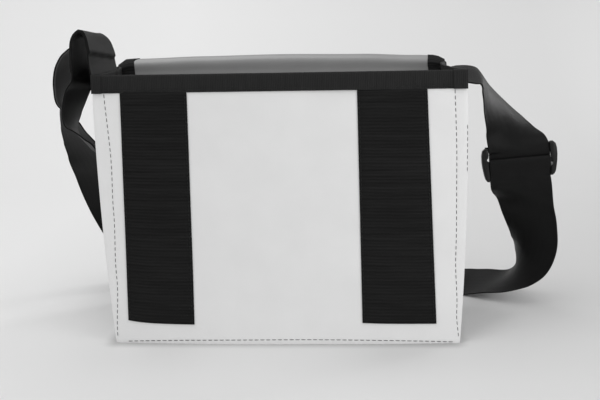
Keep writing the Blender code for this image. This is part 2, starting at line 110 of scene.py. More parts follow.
FLOOR_RUN_SHARES = (
    ((-0.793, 1.97), (-0.06, -0.97, -0.20)),
    ((-0.567, 2.12), (0.20, -0.97, -0.12)),
    ((-0.267, 2.28), (0.15, -0.98, -0.10)),
    ((0.000, 2.35), (0.00, -0.99, -0.10)),
    ((0.300, 2.30), (-0.15, -0.99, -0.10)),
    ((0.567, 2.10), (-0.25, -0.96, -0.12)),
    ((0.800, 1.80), (-0.30, -0.94, -0.17)),
    ((0.933, 1.62), (-0.15, -0.97, -0.20)),
)
STRAP_RISE_SHARES = (
    ((1.041, 1.459, 0.040), (-0.30, -0.93, -0.22)),
    ((1.148, 1.243, 0.061), (-0.44, -0.88, -0.18)),
    ((1.219, 1.076, 0.102), (-0.19, -0.94, -0.28)),
    ((1.261, 0.980, 0.146), (0.19, -0.89, -0.41)),
    ((1.294, 0.870, 0.202), (0.54, -0.72, -0.43)),
    ((1.298, 0.690, 0.285), (0.76, -0.57, -0.31)),
    ((1.271, 0.521, 0.372), (0.86, -0.47, -0.20)),
    ((1.242, 0.400, 0.440), (0.90, -0.40, -0.16)),
    ((1.213, 0.222, 0.496), (0.96, -0.22, -0.07)),
)
STRAP_CREST_SHARES = (
    ((1.147, 0.257, 0.747), (0.85, 0.51, 0.12)),
    ((1.113, 0.332, 0.799), (0.66, 0.74, 0.13)),
    ((1.077, 0.391, 0.850), (0.46, 0.88, 0.12)),
    ((1.039, 0.423, 0.902), (0.24, 0.96, 0.14)),
    ((1.009, 0.430, 0.941), (0.07, 0.98, 0.19)),
    ((0.982, 0.430, 0.955), (0.05, 0.97, 0.23)),
    ((0.951, 0.432, 0.963), (0.04, 0.98, 0.22)),
    ((0.918, 0.436, 0.963), (0.00, 0.98, 0.17)),
    ((0.890, 0.438, 0.950), (0.00, 0.99, 0.10)),
)
# Straight stretch of webbing below and above the slider's middle, in metres
STRAIGHT_PLACES = (0.0150, 0.0070, 0.0, -0.0105)
# Tops of the strap's sewn ends, as shares of the height
LEFT_SEAM_TOP = 0.938
RIGHT_SEAM_TOP = 0.895
# The folded loop, as shares of the strap plane, half the base depth and the height
SIDE_LOOP_SHARES = (
    ((-0.878, -0.421, 0.986), (0.21, 0.98, -0.08)),
    ((-0.888, -0.421, 1.030), (0.21, 0.97, -0.08)),
    ((-0.897, -0.421, 1.083), (0.18, 0.98, -0.11)),
    ((-0.914, -0.421, 1.120), (0.18, 0.97, -0.15)),
    ((-0.944, -0.421, 1.144), (0.12, 0.98, -0.11)),
    ((-0.970, -0.421, 1.136), (0.08, 1.00, 0.00)),
    ((-0.976, -0.421, 1.111), (0.12, 0.99, 0.02)),
    ((-0.979, -0.421, 1.059), (0.14, 0.99, 0.03)),
    ((-0.982, -0.421, 1.012), (0.13, 0.99, 0.01)),
    ((-0.992, -0.421, 0.968), (0.10, 0.99, -0.10)),
    ((-1.016, -0.421, 0.937), (0.15, 0.99, -0.05)),
    ((-1.037, -0.421, 0.895), (0.11, 0.99, -0.06)),
    ((-1.055, -0.421, 0.845), (0.03, 0.99, -0.12)),
    ((-1.052, -0.421, 0.793), (-0.06, 0.96, -0.27)),
    ((-0.988, -0.421, 0.737), (-0.02, 0.92, -0.39)),
    ((-0.939, -0.421, 0.706), (0.00, 0.92, -0.38)),
    ((-0.911, -0.421, 0.682), (0.00, 0.95, -0.28)),
)
LOOP_SEWN_HEIGHTS = (0.855, 0.890, 0.925)
LOOP_FOOT_HEIGHTS = (0.650, 0.620, 0.590)

# How the soft bag settles: it leans, its back rim drifts and its side rims sink in
BASE_SHIFT = 0.0015
TOP_SHIFT = -0.0014
BACK_DRIFT = -0.0062
SIDE_SINK = 0.0095
SIDE_BAND = 0.030
FOOT_BULGE = 0.0035
RIM_DIP = 0.0011

# Stitching
STITCH_PITCH = 0.0043
STITCH_SPACE = 0.0009
STITCH_RADIUS = 0.00024

# Height of the flap's crest above the hinge, as (share of half its width, rise in metres)
CREST_PROFILE = (
    (-1.00, -0.0012), (-0.95, 0.0028), (-0.85, 0.0032), (-0.50, 0.0043), (0.00, 0.0050),
    (0.50, 0.0042), (0.84, 0.0026), (0.95, 0.0020), (1.00, -0.0010),
)

# Lengths that follow from the sizes above
BOUND_EDGE = SEAT_GAP + TAPE
FLAP_HALF_THICKNESS = SHEET / 2 + BOUND_EDGE
FLAP_WIDTH = MOUTH_WIDTH - 2 * FLAP_INSET
RIM_TOP = HEIGHT + BOUND_EDGE
LEAN = math.atan2((BASE_DEPTH - MOUTH_DEPTH) / 2, HEIGHT)
HINGE_Y = MOUTH_DEPTH / 2 + SEAT_GAP + FLAP_HALF_THICKNESS
HINGE_Z = RIM_TOP + SEAT_GAP + FLAP_HALF_THICKNESS
STRAP_PLANE = MOUTH_WIDTH / 2 + STRAP_STAND

SIDES = (("left", -1), ("right", 1))


def mix(start, end, share):
    return start + (end - start) * share


def clamp(value, low=0.0, high=1.0):
    return max(low, min(high, value))


def table_value(table, place):
    """Smooth value read from a short table of (place, value)."""
    places = [row[0] for row in table]
    index = clamp(np.searchsorted(places, place) - 1, 0, len(table) - 2)
    low, high = table[int(index)], table[int(index) + 1]
    share = clamp((place - low[0]) / (high[0] - low[0]))
    return mix(low[1], high[1], share * share * (3 - 2 * share))


# Materials

def node(tree, kind, inputs=None, **settings):
    """A shader node with its settings, and inputs that are values or other nodes' outputs."""
    item = tree.nodes.new("ShaderNode" + kind)
    for key, value in settings.items():
        setattr(item, key, value)
    for key, value in (inputs or {}).items():
        socket = item.inputs[key]
        if isinstance(value, bpy.types.NodeSocket):
            tree.links.new(value, socket)
        else:
            socket.default_value = value
    return item


def calc(tree, operation, first, second=0.0, third=None):
    inputs = {0: first, 1: second}
    if third is not None:
        inputs[2] = third
    return node(tree, "Math", inputs, operation=operation).outputs[0]


def shaded(name, roughness, **sockets):
    """A material with its principled shader; the named sockets get plain values."""
    material = bpy.data.materials.new(name)
    material.use_nodes = True
    shader = material.node_tree.nodes["Principled BSDF"]
    shader.inputs["Roughness"].default_value = roughness
    for key, value in sockets.items():
        shader.inputs[key.replace("_", " ")].default_value = value
    return material, material.node_tree, shader


def uv_parts(tree):
    """Metres across and along a piece, from its UV map."""
    layer = node(tree, "UVMap", uv_map="metres")
    parts = node(tree, "SeparateXYZ", {0: layer.outputs[0]})
    return layer.outputs[0], parts.outputs[0], parts.outputs[1]


def noise(tree, vector, scale, detail=3.0, stretch=(1, 1, 1)):
    scaled = node(tree, "VectorMath", {0: vector, 1: stretch}, operation="MULTIPLY")
    inputs = {"Vector": scaled.outputs[0], "Scale": scale, "Detail": detail}
    return node(tree, "TexNoise", inputs).outputs["Fac"]


def waves(tree, value, pitch):
    """A wave between 0 and 1 that repeats at the pitch."""
    turned = calc(tree, "MULTIPLY", value, 2 * math.pi / pitch)
    return calc(tree, "MULTIPLY_ADD", calc(tree, "SINE", turned), 0.5, 0.5)


def ranged(tree, value, low, high):
    inputs = {"Value": value, "To Min": low, "To Max": high}
    return node(tree, "MapRange", inputs).outputs[0]


def grey_mix(tree, factor, dark, light):
    blend = tree.nodes.new("ShaderNodeMix")
    blend.data_type = "RGBA"
    tree.links.new(factor, blend.inputs[0])
    blend.inputs[6].default_value = (dark, dark, dark, 1)
    blend.inputs[7].default_value = (light, light, light, 1)
    return blend.outputs[2]


def colour_by(tree, shader, factor, dark, light):
    tree.links.new(grey_mix(tree, factor, dark, light), shader.inputs["Base Color"])


def roughen_by(tree, shader, factor, low, high):
    tree.links.new(ranged(tree, factor, low, high), shader.inputs["Roughness"])


def add_bump(tree, shader, height, distance, strength):
    inputs = {"Height": height, "Distance": distance, "Strength": strength}
    tree.links.new(node(tree, "Bump", inputs).outputs[0], shader.inputs["Normal"])


# Repeats in the cloths, in metres
SCRIM_PITCH = 0.0011
TWILL_PITCH = 0.00115
CHEVRON_WIDTH = 0.0029
CORD_PITCH = 0.00072
RIB_PITCH = 0.00125
PILE_ROW_PITCH = 0.0023
HOOK_PITCHES = (0.0017, 0.0013)
THREAD_TWIST = 0.0005


def coated_cloth(name, dark, light, roughness, coat):
    """Tarpaulin: a smooth coating through which the scrim shows faintly."""
    material, tree, shader = shaded(name, roughness, Coat_Weight=coat, Coat_Roughness=0.3)
    vector, across, along = uv_parts(tree)
    scrim = calc(tree, "MULTIPLY", waves(tree, across, SCRIM_PITCH), waves(tree, along, SCRIM_PITCH))
    mottle = noise(tree, vector, 38.0, 4.0)
    grain = noise(tree, vector, 900.0, 2.0)
    colour_by(tree, shader, mottle, dark, light)
    roughen_by(tree, shader, mottle, roughness - 0.06, roughness + 0.08)
    relief = calc(tree, "ADD", calc(tree, "MULTIPLY", scrim, 0.35), grain)
    add_bump(tree, shader, relief, 0.00004, 0.5)
    return material


def weighted(tree, first, first_share, second, second_share):
    """Sum of two values by their shares."""
    return calc(tree, "MULTIPLY_ADD", first, first_share, calc(tree, "MULTIPLY", second, second_share))


def wobbled(tree, value, vector, scale, size):
    """A place pushed to and fro a little, so that rows aren't ruled."""
    return calc(tree, "ADD", value, calc(tree, "MULTIPLY", noise(tree, vector, scale, 2.0), size))


def cloth(name, pattern, greys, roughness, shine, bump):
    """A material whose pattern gives the shade and the relief at each place of the cloth."""
    material, tree, shader = shaded(name, roughness, Specular_IOR_Level=shine)
    shade, relief = pattern(tree, shader, *uv_parts(tree))
    colour_by(tree, shader, shade, *greys)
    add_bump(tree, shader, relief, *bump)
    return material


def belt_twill(tree, shader, vector, across, along):
    """Close twill in chevrons, as in belt webbing, with a soft shine."""
    chevron = calc(tree, "PINGPONG", across, CHEVRON_WIDTH)
    twill = waves(tree, calc(tree, "ADD", along, chevron), TWILL_PITCH)
    cords = waves(tree, across, CORD_PITCH)
    wear = noise(tree, vector, 70.0, 4.0, (1.0, 0.35, 1.0))
    roughen_by(tree, shader, wear, 0.38, 0.50)
    return weighted(tree, twill, 0.45, wear, 0.55), calc(tree, "MULTIPLY_ADD", cords, 0.35, twill)


def grosgrain(tree, shader, vector, across, along):
    """Ribs across the tape, uneven where it is pulled over the edge."""
    ribs = waves(tree, wobbled(tree, across, vector, 160.0, 0.0006), RIB_PITCH)
    streaks = noise(tree, vector, 420.0, 3.0, (1.0, 0.12, 1.0))
    return weighted(tree, ribs, 0.4, streaks, 0.6), ribs


def brushed_pile(tree, shader, vector, across, along):
    """Loop pile brushed into rows, between two flat selvedges."""
    rows = waves(tree, wobbled(tree, along, vector, 90.0, 0.0012), PILE_ROW_PITCH)
    fuzz = noise(tree, vector, 1500.0, 2.0, (0.45, 1.0, 1.0))
    patches = noise(tree, vector, 60.0, 3.0, (0.35, 2.2, 1.0))
    streaks = ranged(tree, noise(tree, vector, 150.0, 3.0, (0.10, 2.6, 1.0)), -0.6, 1.6)
    shade = calc(tree, "MULTIPLY_ADD", streaks, 0.5, weighted(tree, rows, 0.25, patches, 0.25))
    return shade, calc(tree, "MULTIPLY_ADD", rows, 0.6, fuzz)


def hook_rows(tree, shader, vector, across, along):
    """Rows of small stiff hooks on a flat ground."""
    columns, rows = waves(tree, across, HOOK_PITCHES[0]), waves(tree, along, HOOK_PITCHES[1])
    dots = calc(tree, "MULTIPLY", columns, rows)
    return weighted(tree, dots, 0.7, noise(tree, vector, 700.0, 2.0), 0.3), dots


def twisted_plies(tree, shader, vector, across, along):
    """Thread whose plies wind round each stitch."""
    twist = waves(tree, calc(tree, "ADD", across, along), THREAD_TWIST)
    return twist, twist


def moulded_plastic(name, dark, light):
    """Black plastic with a fine spark-eroded grain; its tone and roughness vary at random."""
    material, tree, shader = shaded(name, 0.34, Specular_IOR_Level=0.25)
    place = node(tree, "TexCoord").outputs["Object"]
    grain = noise(tree, place, 2600.0, 2.0)
    cloud = noise(tree, place, 120.0, 3.0)
    colour_by(tree, shader, cloud, dark, light)
    roughen_by(tree, shader, cloud, 0.26, 0.44)
    add_bump(tree, shader, grain, 0.00005, 0.6)
    return material


def webbing(name, greys, shine):
    return cloth(name, belt_twill, greys, 0.42, shine, (0.00008, 0.5))


def sewing_thread(name, *greys):
    return cloth(name, twisted_plies, greys, 0.55, 0.2, (0.00008, 0.8))


MATERIALS = {
    "white_tarpaulin": coated_cloth("coated_white", 0.70, 0.76, 0.42, 0.10),
    "grey_tarpaulin": coated_cloth("coated_grey", 0.25, 0.29, 0.36, 0.30),
    "black_webbing": webbing("belt_webbing", (0.003, 0.008), 0.10),
    "black_binding": cloth("ribbed_binding", grosgrain, (0.005, 0.021), 0.62, 0.15, (0.00022, 0.8)),
    "black_loop_pile": cloth("loop_pile", brushed_pile, (0.004, 0.016), 0.85, 0.1, (0.0003, 0.8)),
    "black_hook_tape": cloth("hook_rows", hook_rows, (0.004, 0.016), 0.5, 0.2, (0.0005, 0.9)),
    "black_plastic": moulded_plastic("moulded_black", 0.003, 0.008),
}
# A darker, less shiny copy of the webbing: painted shade for one side of the strap
SHADED_SIDE_WEBBING = webbing("belt_webbing_painted_shade", (0.002, 0.006), 0.02)
THREAD = sewing_thread("dark_thread", 0.03, 0.10)
BLACK_THREAD = sewing_thread("black_thread", 0.006, 0.020)
PALE_THREAD = sewing_thread("pale_thread", 0.25, 0.45)


# Mesh builders

def lengths_along(points):
    """Length from the first of the points to each of them."""
    steps = np.linalg.norm(np.diff(np.array(points, dtype=float), axis=0), axis=1)
    return np.concatenate([[0], np.cumsum(steps)])


def make_object(name, points, faces, uvs, slot, body, material=None):
    """A smooth object on its body; uvs are metres for each point."""
    mesh = bpy.data.meshes.new(name)
    mesh.from_pydata([tuple(point) for point in points], [], faces)
    layer = mesh.uv_layers.new(name="metres")
    for loop in mesh.loops:
        layer.data[loop.index].uv = uvs[loop.vertex_index]
    mesh.materials.append(material or MATERIALS[slot])
    mesh.shade_smooth()
    mesh.set_sharp_from_angle(angle=math.radians(50))
    item = bpy.data.objects.new(name, mesh)
    bpy.context.scene.collection.objects.link(item)
    if body:
        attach(item, body)
    return item


def grid_faces(columns, rows, start=0, flip=False):
    faces = []
    for i in range(columns):
        for j in range(rows):
            a = start + i * (rows + 1) + j
            face = (a, a + rows + 1, a + rows + 2, a + 1)
            faces.append(face[::-1] if flip else face)
    return faces


def normals_of(grid):
    """Unit normals of a grid of points."""
    sideways = np.gradient(grid, axis=0)
    upward = np.gradient(grid, axis=1)
    normals = np.cross(sideways, upward)
    return normals / np.maximum(np.linalg.norm(normals, axis=2, keepdims=True), 1e-12)


def sheet_piece(name, surface, across, up, thickness, slot, body, size):
    """Closed thin solid under surface(u, v); across and up list the shares of its grid lines."""
    outer = np.array([[surface(u, v) for v in up] for u in across], dtype=float)
    inner = outer - normals_of(outer) * thickness
    columns, rows = len(across) - 1, len(up) - 1
    count = (columns + 1) * (rows + 1)
    points = np.concatenate([outer.reshape(-1, 3), inner.reshape(-1, 3)])
    faces = grid_faces(columns, rows) + grid_faces(columns, rows, count, True)
    rim = [i * (rows + 1) for i in range(columns)]
    rim += [columns * (rows + 1) + j for j in range(rows)]
    rim += [(columns - i) * (rows + 1) + rows for i in range(columns)]
    rim += [rows - j for j in range(rows)]
    for a, b in zip(rim, rim[1:] + rim[:1]):
        faces.append((b, a, a + count, b + count))
    uvs = [(u * size[0], v * size[1]) for u in across for v in up] * 2
    return make_object(name, points, faces, uvs, slot, body)


def ring_piece(name, rings, slot, body, across=None):
    """Closed solid through rings of points, with UVs in metres round and along it."""
    rings = np.array(rings, dtype=float)
    count, sides = rings.shape[0], rings.shape[1]
    along = lengths_along(rings.mean(axis=1))
    if across is None:
        across = lengths_along(rings[count // 2])
    faces = []
    for i in range(count - 1):
        for j in range(sides):
            k = (j + 1) % sides
            faces.append((i * sides + j, i * sides + k, (i + 1) * sides + k, (i + 1) * sides + j))
    faces.append(tuple(range(sides))[::-1])
    faces.append(tuple(range((count - 1) * sides, count * sides)))
    uvs = [(across[j], along[i]) for i in range(count) for j in range(sides)]
    return make_object(name, rings.reshape(-1, 3), faces, uvs, slot, body)


def even(count, low=0.0, high=1.0):
    return [mix(low, high, index / count) for index in range(count + 1)]


def close_lines(size, fine, coarse, margin):
    """Shares of grid lines, close together near both edges of a piece of that size."""
    fine_count = max(1, round(margin / fine))
    middle_count = max(1, round((size - 2 * margin) / coarse))
    places = even(fine_count, 0, margin)
    places += even(middle_count, margin, size - margin)[1:]
    places += even(fine_count, size - margin, size)[1:]
    return [place / size for place in places]


# Shape of the bag's body

# Steps between grid lines near a panel's edges and in its middle
FINE_STEP = 0.0009
COARSE_STEP = 0.0035
# How far back from the mouth's front edge the rim dips
DIP_REACH = 0.03
GUSSET_RADIUS = 0.0025
GUSSET_LEVELS = 56
# How far the base panel's edges turn up, and from what share of its width
BASE_RISE = 0.010
BASE_TURN = 0.90


def half_width(z):
    share = z / HEIGHT
    return mix(BASE_WIDTH, MOUTH_WIDTH, share) / 2 + SIDE_SWELL * 4 * share * (1 - share)


def half_depth(z):
    return mix(BASE_DEPTH, MOUTH_DEPTH, z / HEIGHT) / 2


def front_y(x, z):
    """Front face: it swells towards the mouth, and bulges over the foot."""
    across = clamp(1 - (x / half_width(z)) ** 2)
    share = clamp(z / HEIGHT)
    upward = 1 - (1 - share) ** 2
    return -half_depth(z) - across * (FRONT_CROWN * upward + FOOT_BULGE * (1 - share) ** 4)


def settle(point):
    """Where a point of the body comes to lie in the settled bag."""
    share = clamp(point[2] / HEIGHT, 0, 1.05)
    back = clamp((point[1] + MOUTH_DEPTH / 2) / MOUTH_DEPTH, 0, 1.1)
    x = point[0] + mix(BASE_SHIFT, TOP_SHIFT, share) + BACK_DRIFT * share ** 2 * back
    outward = clamp((abs(point[0]) - MOUTH_WIDTH / 2 + SIDE_BAND) / SIDE_BAND)
    belly = clamp(1 - (2 * point[1] / MOUTH_DEPTH) ** 2) ** 0.6
    x -= math.copysign(SIDE_SINK * share ** 3 * belly * outward, point[0])
    front = clamp(1 - (point[1] + MOUTH_DEPTH / 2) / DIP_REACH)
    return Vector((x, point[1], point[2] - RIM_DIP * share ** 8 * front))


def ripple(x, z, size):
    """Slow unevenness of a hanging panel."""
    slow = math.sin(41 * x + 13 * z + 0.4) * math.cos(23 * z - 17 * x)
    return size * (slow + 0.5 * math.sin(67 * z + 29 * x))


# Distance of the side stitches from the front panel's edges, by share of the height
LEFT_STITCH_INSETS = ((0.0, 0.0016), (0.25, 0.0066), (0.50, 0.0094), (0.68, 0.0108), (1.0, 0.0084))
RIGHT_STITCH_INSETS = ((0.0, 0.0012), (0.12, 0.0040), (0.33, 0.0068), (0.65, 0.0078), (1.0, 0.0092))
GROOVE_DEPTH = 0.00022
GROOVE_WIDTH = 0.0016
EDGE_ROLL = 0.0007
ROLL_WIDTH = 0.0035


def foot_stitch_z(share):
    return 0.0006 + 0.0030 * math.sin(math.pi * share) ** 0.6


def front_point(share, z, out=0.0):
    """A place on the front panel's face: share of the width, height, and how far in front of it."""
    wide = 2 * half_width(z)
    x = mix(-wide / 2, wide / 2, share)
    from_edge = min(share, 1 - share) * wide
    insets = LEFT_STITCH_INSETS if share < 0.5 else RIGHT_STITCH_INSETS
    off_seam = from_edge - table_value(insets, z / HEIGHT)
    y = front_y(x, z) - out
    y += GROOVE_DEPTH * math.exp(-(off_seam / GROOVE_WIDTH) ** 2)
    y += EDGE_ROLL * clamp(1 - from_edge / ROLL_WIDTH) ** 2
    y += EDGE_ROLL * clamp(1 - z / ROLL_WIDTH) ** 2
    y += ripple(x, z, 0.0004) * clamp(from_edge / 0.02)
    return settle((x, y, z))


def make_front_panel():
    lines = close_lines(MOUTH_WIDTH, FINE_STEP, COARSE_STEP, 0.018)
    levels = close_lines(HEIGHT, FINE_STEP, COARSE_STEP, 0.010)
    item = sheet_piece(
        "front_panel_cloth", lambda u, v: front_point(u, HEIGHT * v), lines, levels,
        SHEET, "white_tarpaulin", "bag", (MOUTH_WIDTH, HEIGHT),
    )
    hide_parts("front_panel")


def gusset_path(z, direction):
    """Outer face of a side panel from flange to flange, as (x, y) at a height."""
    wide = half_width(z)
    deep = half_depth(z) - SHEET - SEAT_GAP / 2
    corner_x, corner_y = wide - GUSSET_RADIUS, deep - GUSSET_RADIUS
    front = [(mix(wide - SEAM_WIDTH, corner_x, s), -deep) for s in even(5)]
    for turn in even(4, 0, math.pi / 2)[1:]:
        x, y = GUSSET_RADIUS * math.sin(turn), GUSSET_RADIUS * math.cos(turn)
        front.append((corner_x + x, -corner_y - y))
    side = [(wide, mix(-corner_y, corner_y, s)) for s in even(26)[1:-1]]
    back = [(x, -y) for x, y in front[::-1]]
    return [(direction * x, y) for x, y in front + side + back]


# The back flanges stop this share of the height below the rim
FLANGE_DROP = 0.07


def make_gusset(side, direction):
    levels = even(GUSSET_LEVELS)
    paths = [gusset_path(HEIGHT * v, direction) for v in levels]
    count = len(paths[0])

    def surface(u, v):
        x, y = paths[round(v * GUSSET_LEVELS)][round(u * (count - 1))]
        behind = clamp((y + MOUTH_DEPTH / 2) / MOUTH_DEPTH)
        turned_in = clamp((half_width(HEIGHT * v) - abs(x)) / 0.002)
        z = HEIGHT * v * (1 - FLANGE_DROP * behind * turned_in)
        x += math.copysign(ripple(y + 0.3, z, 0.0006), x) * clamp(1 - (2 * y / BASE_DEPTH) ** 2)
        return settle((x, y, z))

    shares = even(count - 1)
    across = shares if direction > 0 else shares[::-1]
    item = sheet_piece(
        "gusset_cloth_" + side, surface, across, levels, SHEET,
        "white_tarpaulin", "bag", (BASE_DEPTH + 2 * SEAM_WIDTH, HEIGHT),
    )
    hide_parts("gusset_" + side)


def make_base():
    """Bottom panel, its edges turned up inside the walls."""
    def surface(u, v):
        across, along = 2 * u - 1, 2 * v - 1
        edge = max(abs(across), abs(along))
        z = SHEET + BASE_RISE * clamp((edge - BASE_TURN) / (1 - BASE_TURN)) ** 1.5
        x = min(1, abs(across) / 0.93) * (half_width(z) - SHEET - 2 * SEAT_GAP)
        y = min(1, abs(along) / 0.88) * (half_depth(z) - 2 * SHEET - 2 * SEAT_GAP)
        place = settle((math.copysign(x, across), math.copysign(y, along), z))
        place.z = z
        return place

    lines = close_lines(1, 0.008, 0.03, 0.12)
    item = sheet_piece(
        "base_cloth", surface, lines[::-1], lines, -SHEET * 0.8,
        "white_tarpaulin", "bag", (BASE_WIDTH, BASE_DEPTH),
    )
    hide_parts("base_panel")


# Woven tape folded over an edge

# How round the fold is, as a share of half the tape's thickness
FOLD_BULGE = 0.8


def folded_section(half_thick):
    """Section of folded tape as (inward, out): round the outside of the fold, then back inside it."""
    turns = even(8, -math.pi / 2, math.pi / 2)
    arc = [(-half_thick * math.cos(t) * FOLD_BULGE, half_thick * math.sin(t)) for t in turns]
    legs = [TAPE_DROP * s for s in (1, 0.66, 0.33)]
    outer = [(leg, -half_thick) for leg in legs] + arc + [(leg, half_thick) for leg in legs[::-1]]
    thin = half_thick - TAPE
    inner = [(TAPE_DROP, thin), (0.0, thin), (-thin * 0.6, 0.0), (0.0, -thin), (TAPE_DROP, -thin)]
    return outer + inner


def tape_piece(name, rings, body, section):
    """Folded tape whose ribs run across it: its UVs are turned."""
    item = ring_piece(name, rings, "black_binding", body, lengths_along(section))
    for entry in item.data.uv_layers["metres"].data:
        entry.uv = (entry.uv[1], entry.uv[0])
    return item


# The side tapes' ends lap over the front tape up to these shares of its length
TAPE_LAP = 0.0008
LAP_LEFT = 0.028
LAP_RIGHT = 0.962


def make_front_binding():
    low = HEIGHT - TAPE_DROP
    half_thick = (2 * SHEET + SEAT_GAP) / 2 + TAPE + SEAT_GAP / 2
    section = folded_section(half_thick)
    rings = []
    for share in close_lines(1, 0.0012, 0.01, 0.05):
        ring = []
        lap = TAPE_LAP * (share < LAP_LEFT or share > LAP_RIGHT)
        for inward, out in section:
            z = max(RIM_TOP - half_thick * FOLD_BULGE - inward, low) + lap * (0.4 if inward <= 0 else -0.3)
            x = mix(-half_width(z), half_width(z), share)
            pucker = 0.00012 * math.sin(x * 2 * math.pi / STITCH_PITCH)
            y = front_y(x, z) + SHEET - out + (pucker - lap) * (out > 0)
            ring.append(settle((x, y, z)))
        rings.append(ring)
    item = tape_piece("rim_tape_front", rings, "bag", section)
    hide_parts("binding_front")


def make_side_binding(side, direction):
    half_thick = SHEET / 2 + TAPE + SEAT_GAP / 2
    section = folded_section(half_thick)
    start, end = -MOUTH_DEPTH / 2 + 0.0034, MOUTH_DEPTH / 2 - 0.0016
    rings = []
    for share in even(48):
        y = mix(start, end, share if direction > 0 else 1 - share)
        ring = []
        for inward, out in section:
            z = RIM_TOP - half_thick * FOLD_BULGE - inward
            x = direction * (half_width(z) - SHEET / 2 + out)
            ring.append(settle((x, y, z)))
        rings.append(ring)
    item = tape_piece("rim_tape_" + side, rings, "bag", section)
    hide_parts("binding_" + side)


# Loop tapes on the front: how far their feet and tops stray, and their widths, in metres
STRIP_STRAY = {"left": (-0.0019, 0.0007), "right": (0.0012, -0.0010)}
STRIP_WIDTHS = {"left": (0.0494, 0.0484), "right": (0.0536, 0.0494)}
STRIP_FOOT_LIFTS = {"left": (0.0022, -0.0006), "right": (0.0006, -0.0002)}
SELVEDGE = 0.0028
STRIP_LENGTH = 0.17
# The pile thins out over this length at both ends
END_TAPER = 0.003


def strip_point(side, u, v, out):
    direction = -1 if side == "left" else 1
    lifts = STRIP_FOOT_LIFTS[side]
    foot = STRIP_FOOT + mix(lifts[0] * (1 - u) ** 3, lifts[1], u)
    z = mix(foot, HEIGHT - TAPE_DROP + 0.0012, v)
    middle = direction * STRIP_SPREAD / 2 - STRIP_SHIFT + mix(*STRIP_STRAY[side], v)
    x = middle + mix(*STRIP_WIDTHS[side], v) * (u - 0.5)
    x += 0.0004 * math.sin(31 * v + 2 * direction) * (1 - abs(2 * u - 1))
    share = x / (2 * half_width(z)) + 0.5
    return front_point(share, z, out)


def make_loop_strip(side):
    wide = STRIP_WIDTH

    def surface(u, v):
        inset = min(u, 1 - u) * wide
        from_foot, from_top = v * HEIGHT / END_TAPER, (1 - v) * HEIGHT / END_TAPER
        raised = clamp((inset - SELVEDGE) / 0.0012) * clamp(from_foot) * clamp(from_top)
        thick = LOOP_THICKNESS * mix(0.45, 0.80, raised) * clamp(0.5 + from_top)
        row = 0.00010 * math.sin(v * STRIP_LENGTH * 2 * math.pi / PILE_ROW_PITCH + 9 * u)
        return strip_point(side, u, v, thick + row * raised)

    item = sheet_piece(
        "loop_tape_" + side, surface, close_lines(wide, FINE_STEP, 0.0025, 0.006), even(240),
        LOOP_THICKNESS * 0.44, "black_loop_pile", "bag", (wide, STRIP_LENGTH),
    )
    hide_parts("loop_strip_" + side)


# The flap: one sheet from the back wall over its crest and down behind

def crest_rise(x):
    return table_value(CREST_PROFILE, clamp(2 * x / FLAP_WIDTH, -1, 1))


def hanging_point(x, along, out):
    y = HINGE_Y + along * math.sin(LEAN) + out * math.cos(LEAN)
    z = HINGE_Z - along * math.cos(LEAN) + out * math.sin(LEAN)
    return (x, y, z)


# Height where the back wall ends and the flap's sheet starts, and two more places on the wall
WALL_START = 0.176
WALL_PLACES = (WALL_START, 0.186, 0.194)
# The arch over the rim, as (behind the hinge, above the crest)
ARCH_PLACES = ((-0.0028, -0.0034), (0.0010, 0.0), (0.0046, -0.0036))
# Places down the hanging sheet: (distance from the hinge, how far it stands out), then distances only
CREST_OUTS = ((0.010, 0.0020), (0.022, 0.0004), (0.036, 0.0), (0.052, 0.0))
LEAF_PLACES = (0.068, 0.084, 0.100, 0.109, 0.120, 0.136, 0.153, 0.171)
LEAF_RIPPLE = 0.0007
# Spans of the flap's pieces, counted in the places that flap_controls lists
ARCH_END = 6
CREST_SPAN = (1, ARCH_END)
UPPER_SPAN = (ARCH_END, 11)
LOWER_SPAN = (11, 18)
# Over how many of these places the sideways drift is spread
DRIFT_PLACES = 8


def flap_controls(x):
    """Places on the section of the sheet from the back wall to the flap's free edge."""
    top = HINGE_Z + crest_rise(x)
    places = [(x, half_depth(z) - SHEET / 2, z) for z in WALL_PLACES]
    places += [(x, HINGE_Y + behind, top + above) for behind, above in ARCH_PLACES]
    places += [hanging_point(x, along, out) for along, out in CREST_OUTS]
    for along in LEAF_PLACES:
        loose = clamp((along - CREST_OUTS[-1][0]) / 0.02)
        places.append(hanging_point(x, along, LEAF_RIPPLE * math.sin(33 * x + 40 * along) * loose))
    places.append(hanging_point(x, FLAP_TOP_LENGTH + FLAP_FRONT_LENGTH, 0.0))
    return [np.array(place) for place in places]


def spline(values, times, place):
    """Point of the smooth curve through the values, at index + share."""
    last = len(values) - 1
    index = min(int(place), last - 1)
    share = place - index

    def slope(k):
        before, after = max(k - 1, 0), min(k + 1, last)
        return (values[after] - values[before]) / (times[after] - times[before])

    span = times[index + 1] - times[index]
    square, cube = share * share, share ** 3
    return (
        values[index] * (2 * cube - 3 * square + 1) + slope(index) * (span * (cube - 2 * square + share))
        + values[index + 1] * (3 * square - 2 * cube) + slope(index + 1) * (span * (cube - square))
    )


def flap_drift(along_share):
    """The sheet drifts sideways with the back rim, less and less down the flap."""
    return (TOP_SHIFT + BACK_DRIFT) * clamp(1 - 1.6 * along_share) ** 1.5


def flap_place(x, place):
    """Point of the flap's sheet at x, and at a place counted along its section."""
    controls = flap_controls(x)
    point = spline(controls, lengths_along(controls), place)
    if place <= ARCH_END:
        settled = settle(tuple(point))
        shift = mix(settled[0] - point[0], flap_drift(0), clamp((place - 2) / 2))
    else:
        shift = flap_drift((place - ARCH_END) / DRIFT_PLACES)
    return Vector((point[0] + shift, point[1], point[2]))


# The left tape flares where it turns over the crest: by what share, at which place, over how many places
FLARE = 0.34
FLARE_PLACE = 4.1
FLARE_SPREAD = 0.4
# Reach, in places, of the look ahead and back that gives a tape's direction
TAPE_LOOK = 0.05


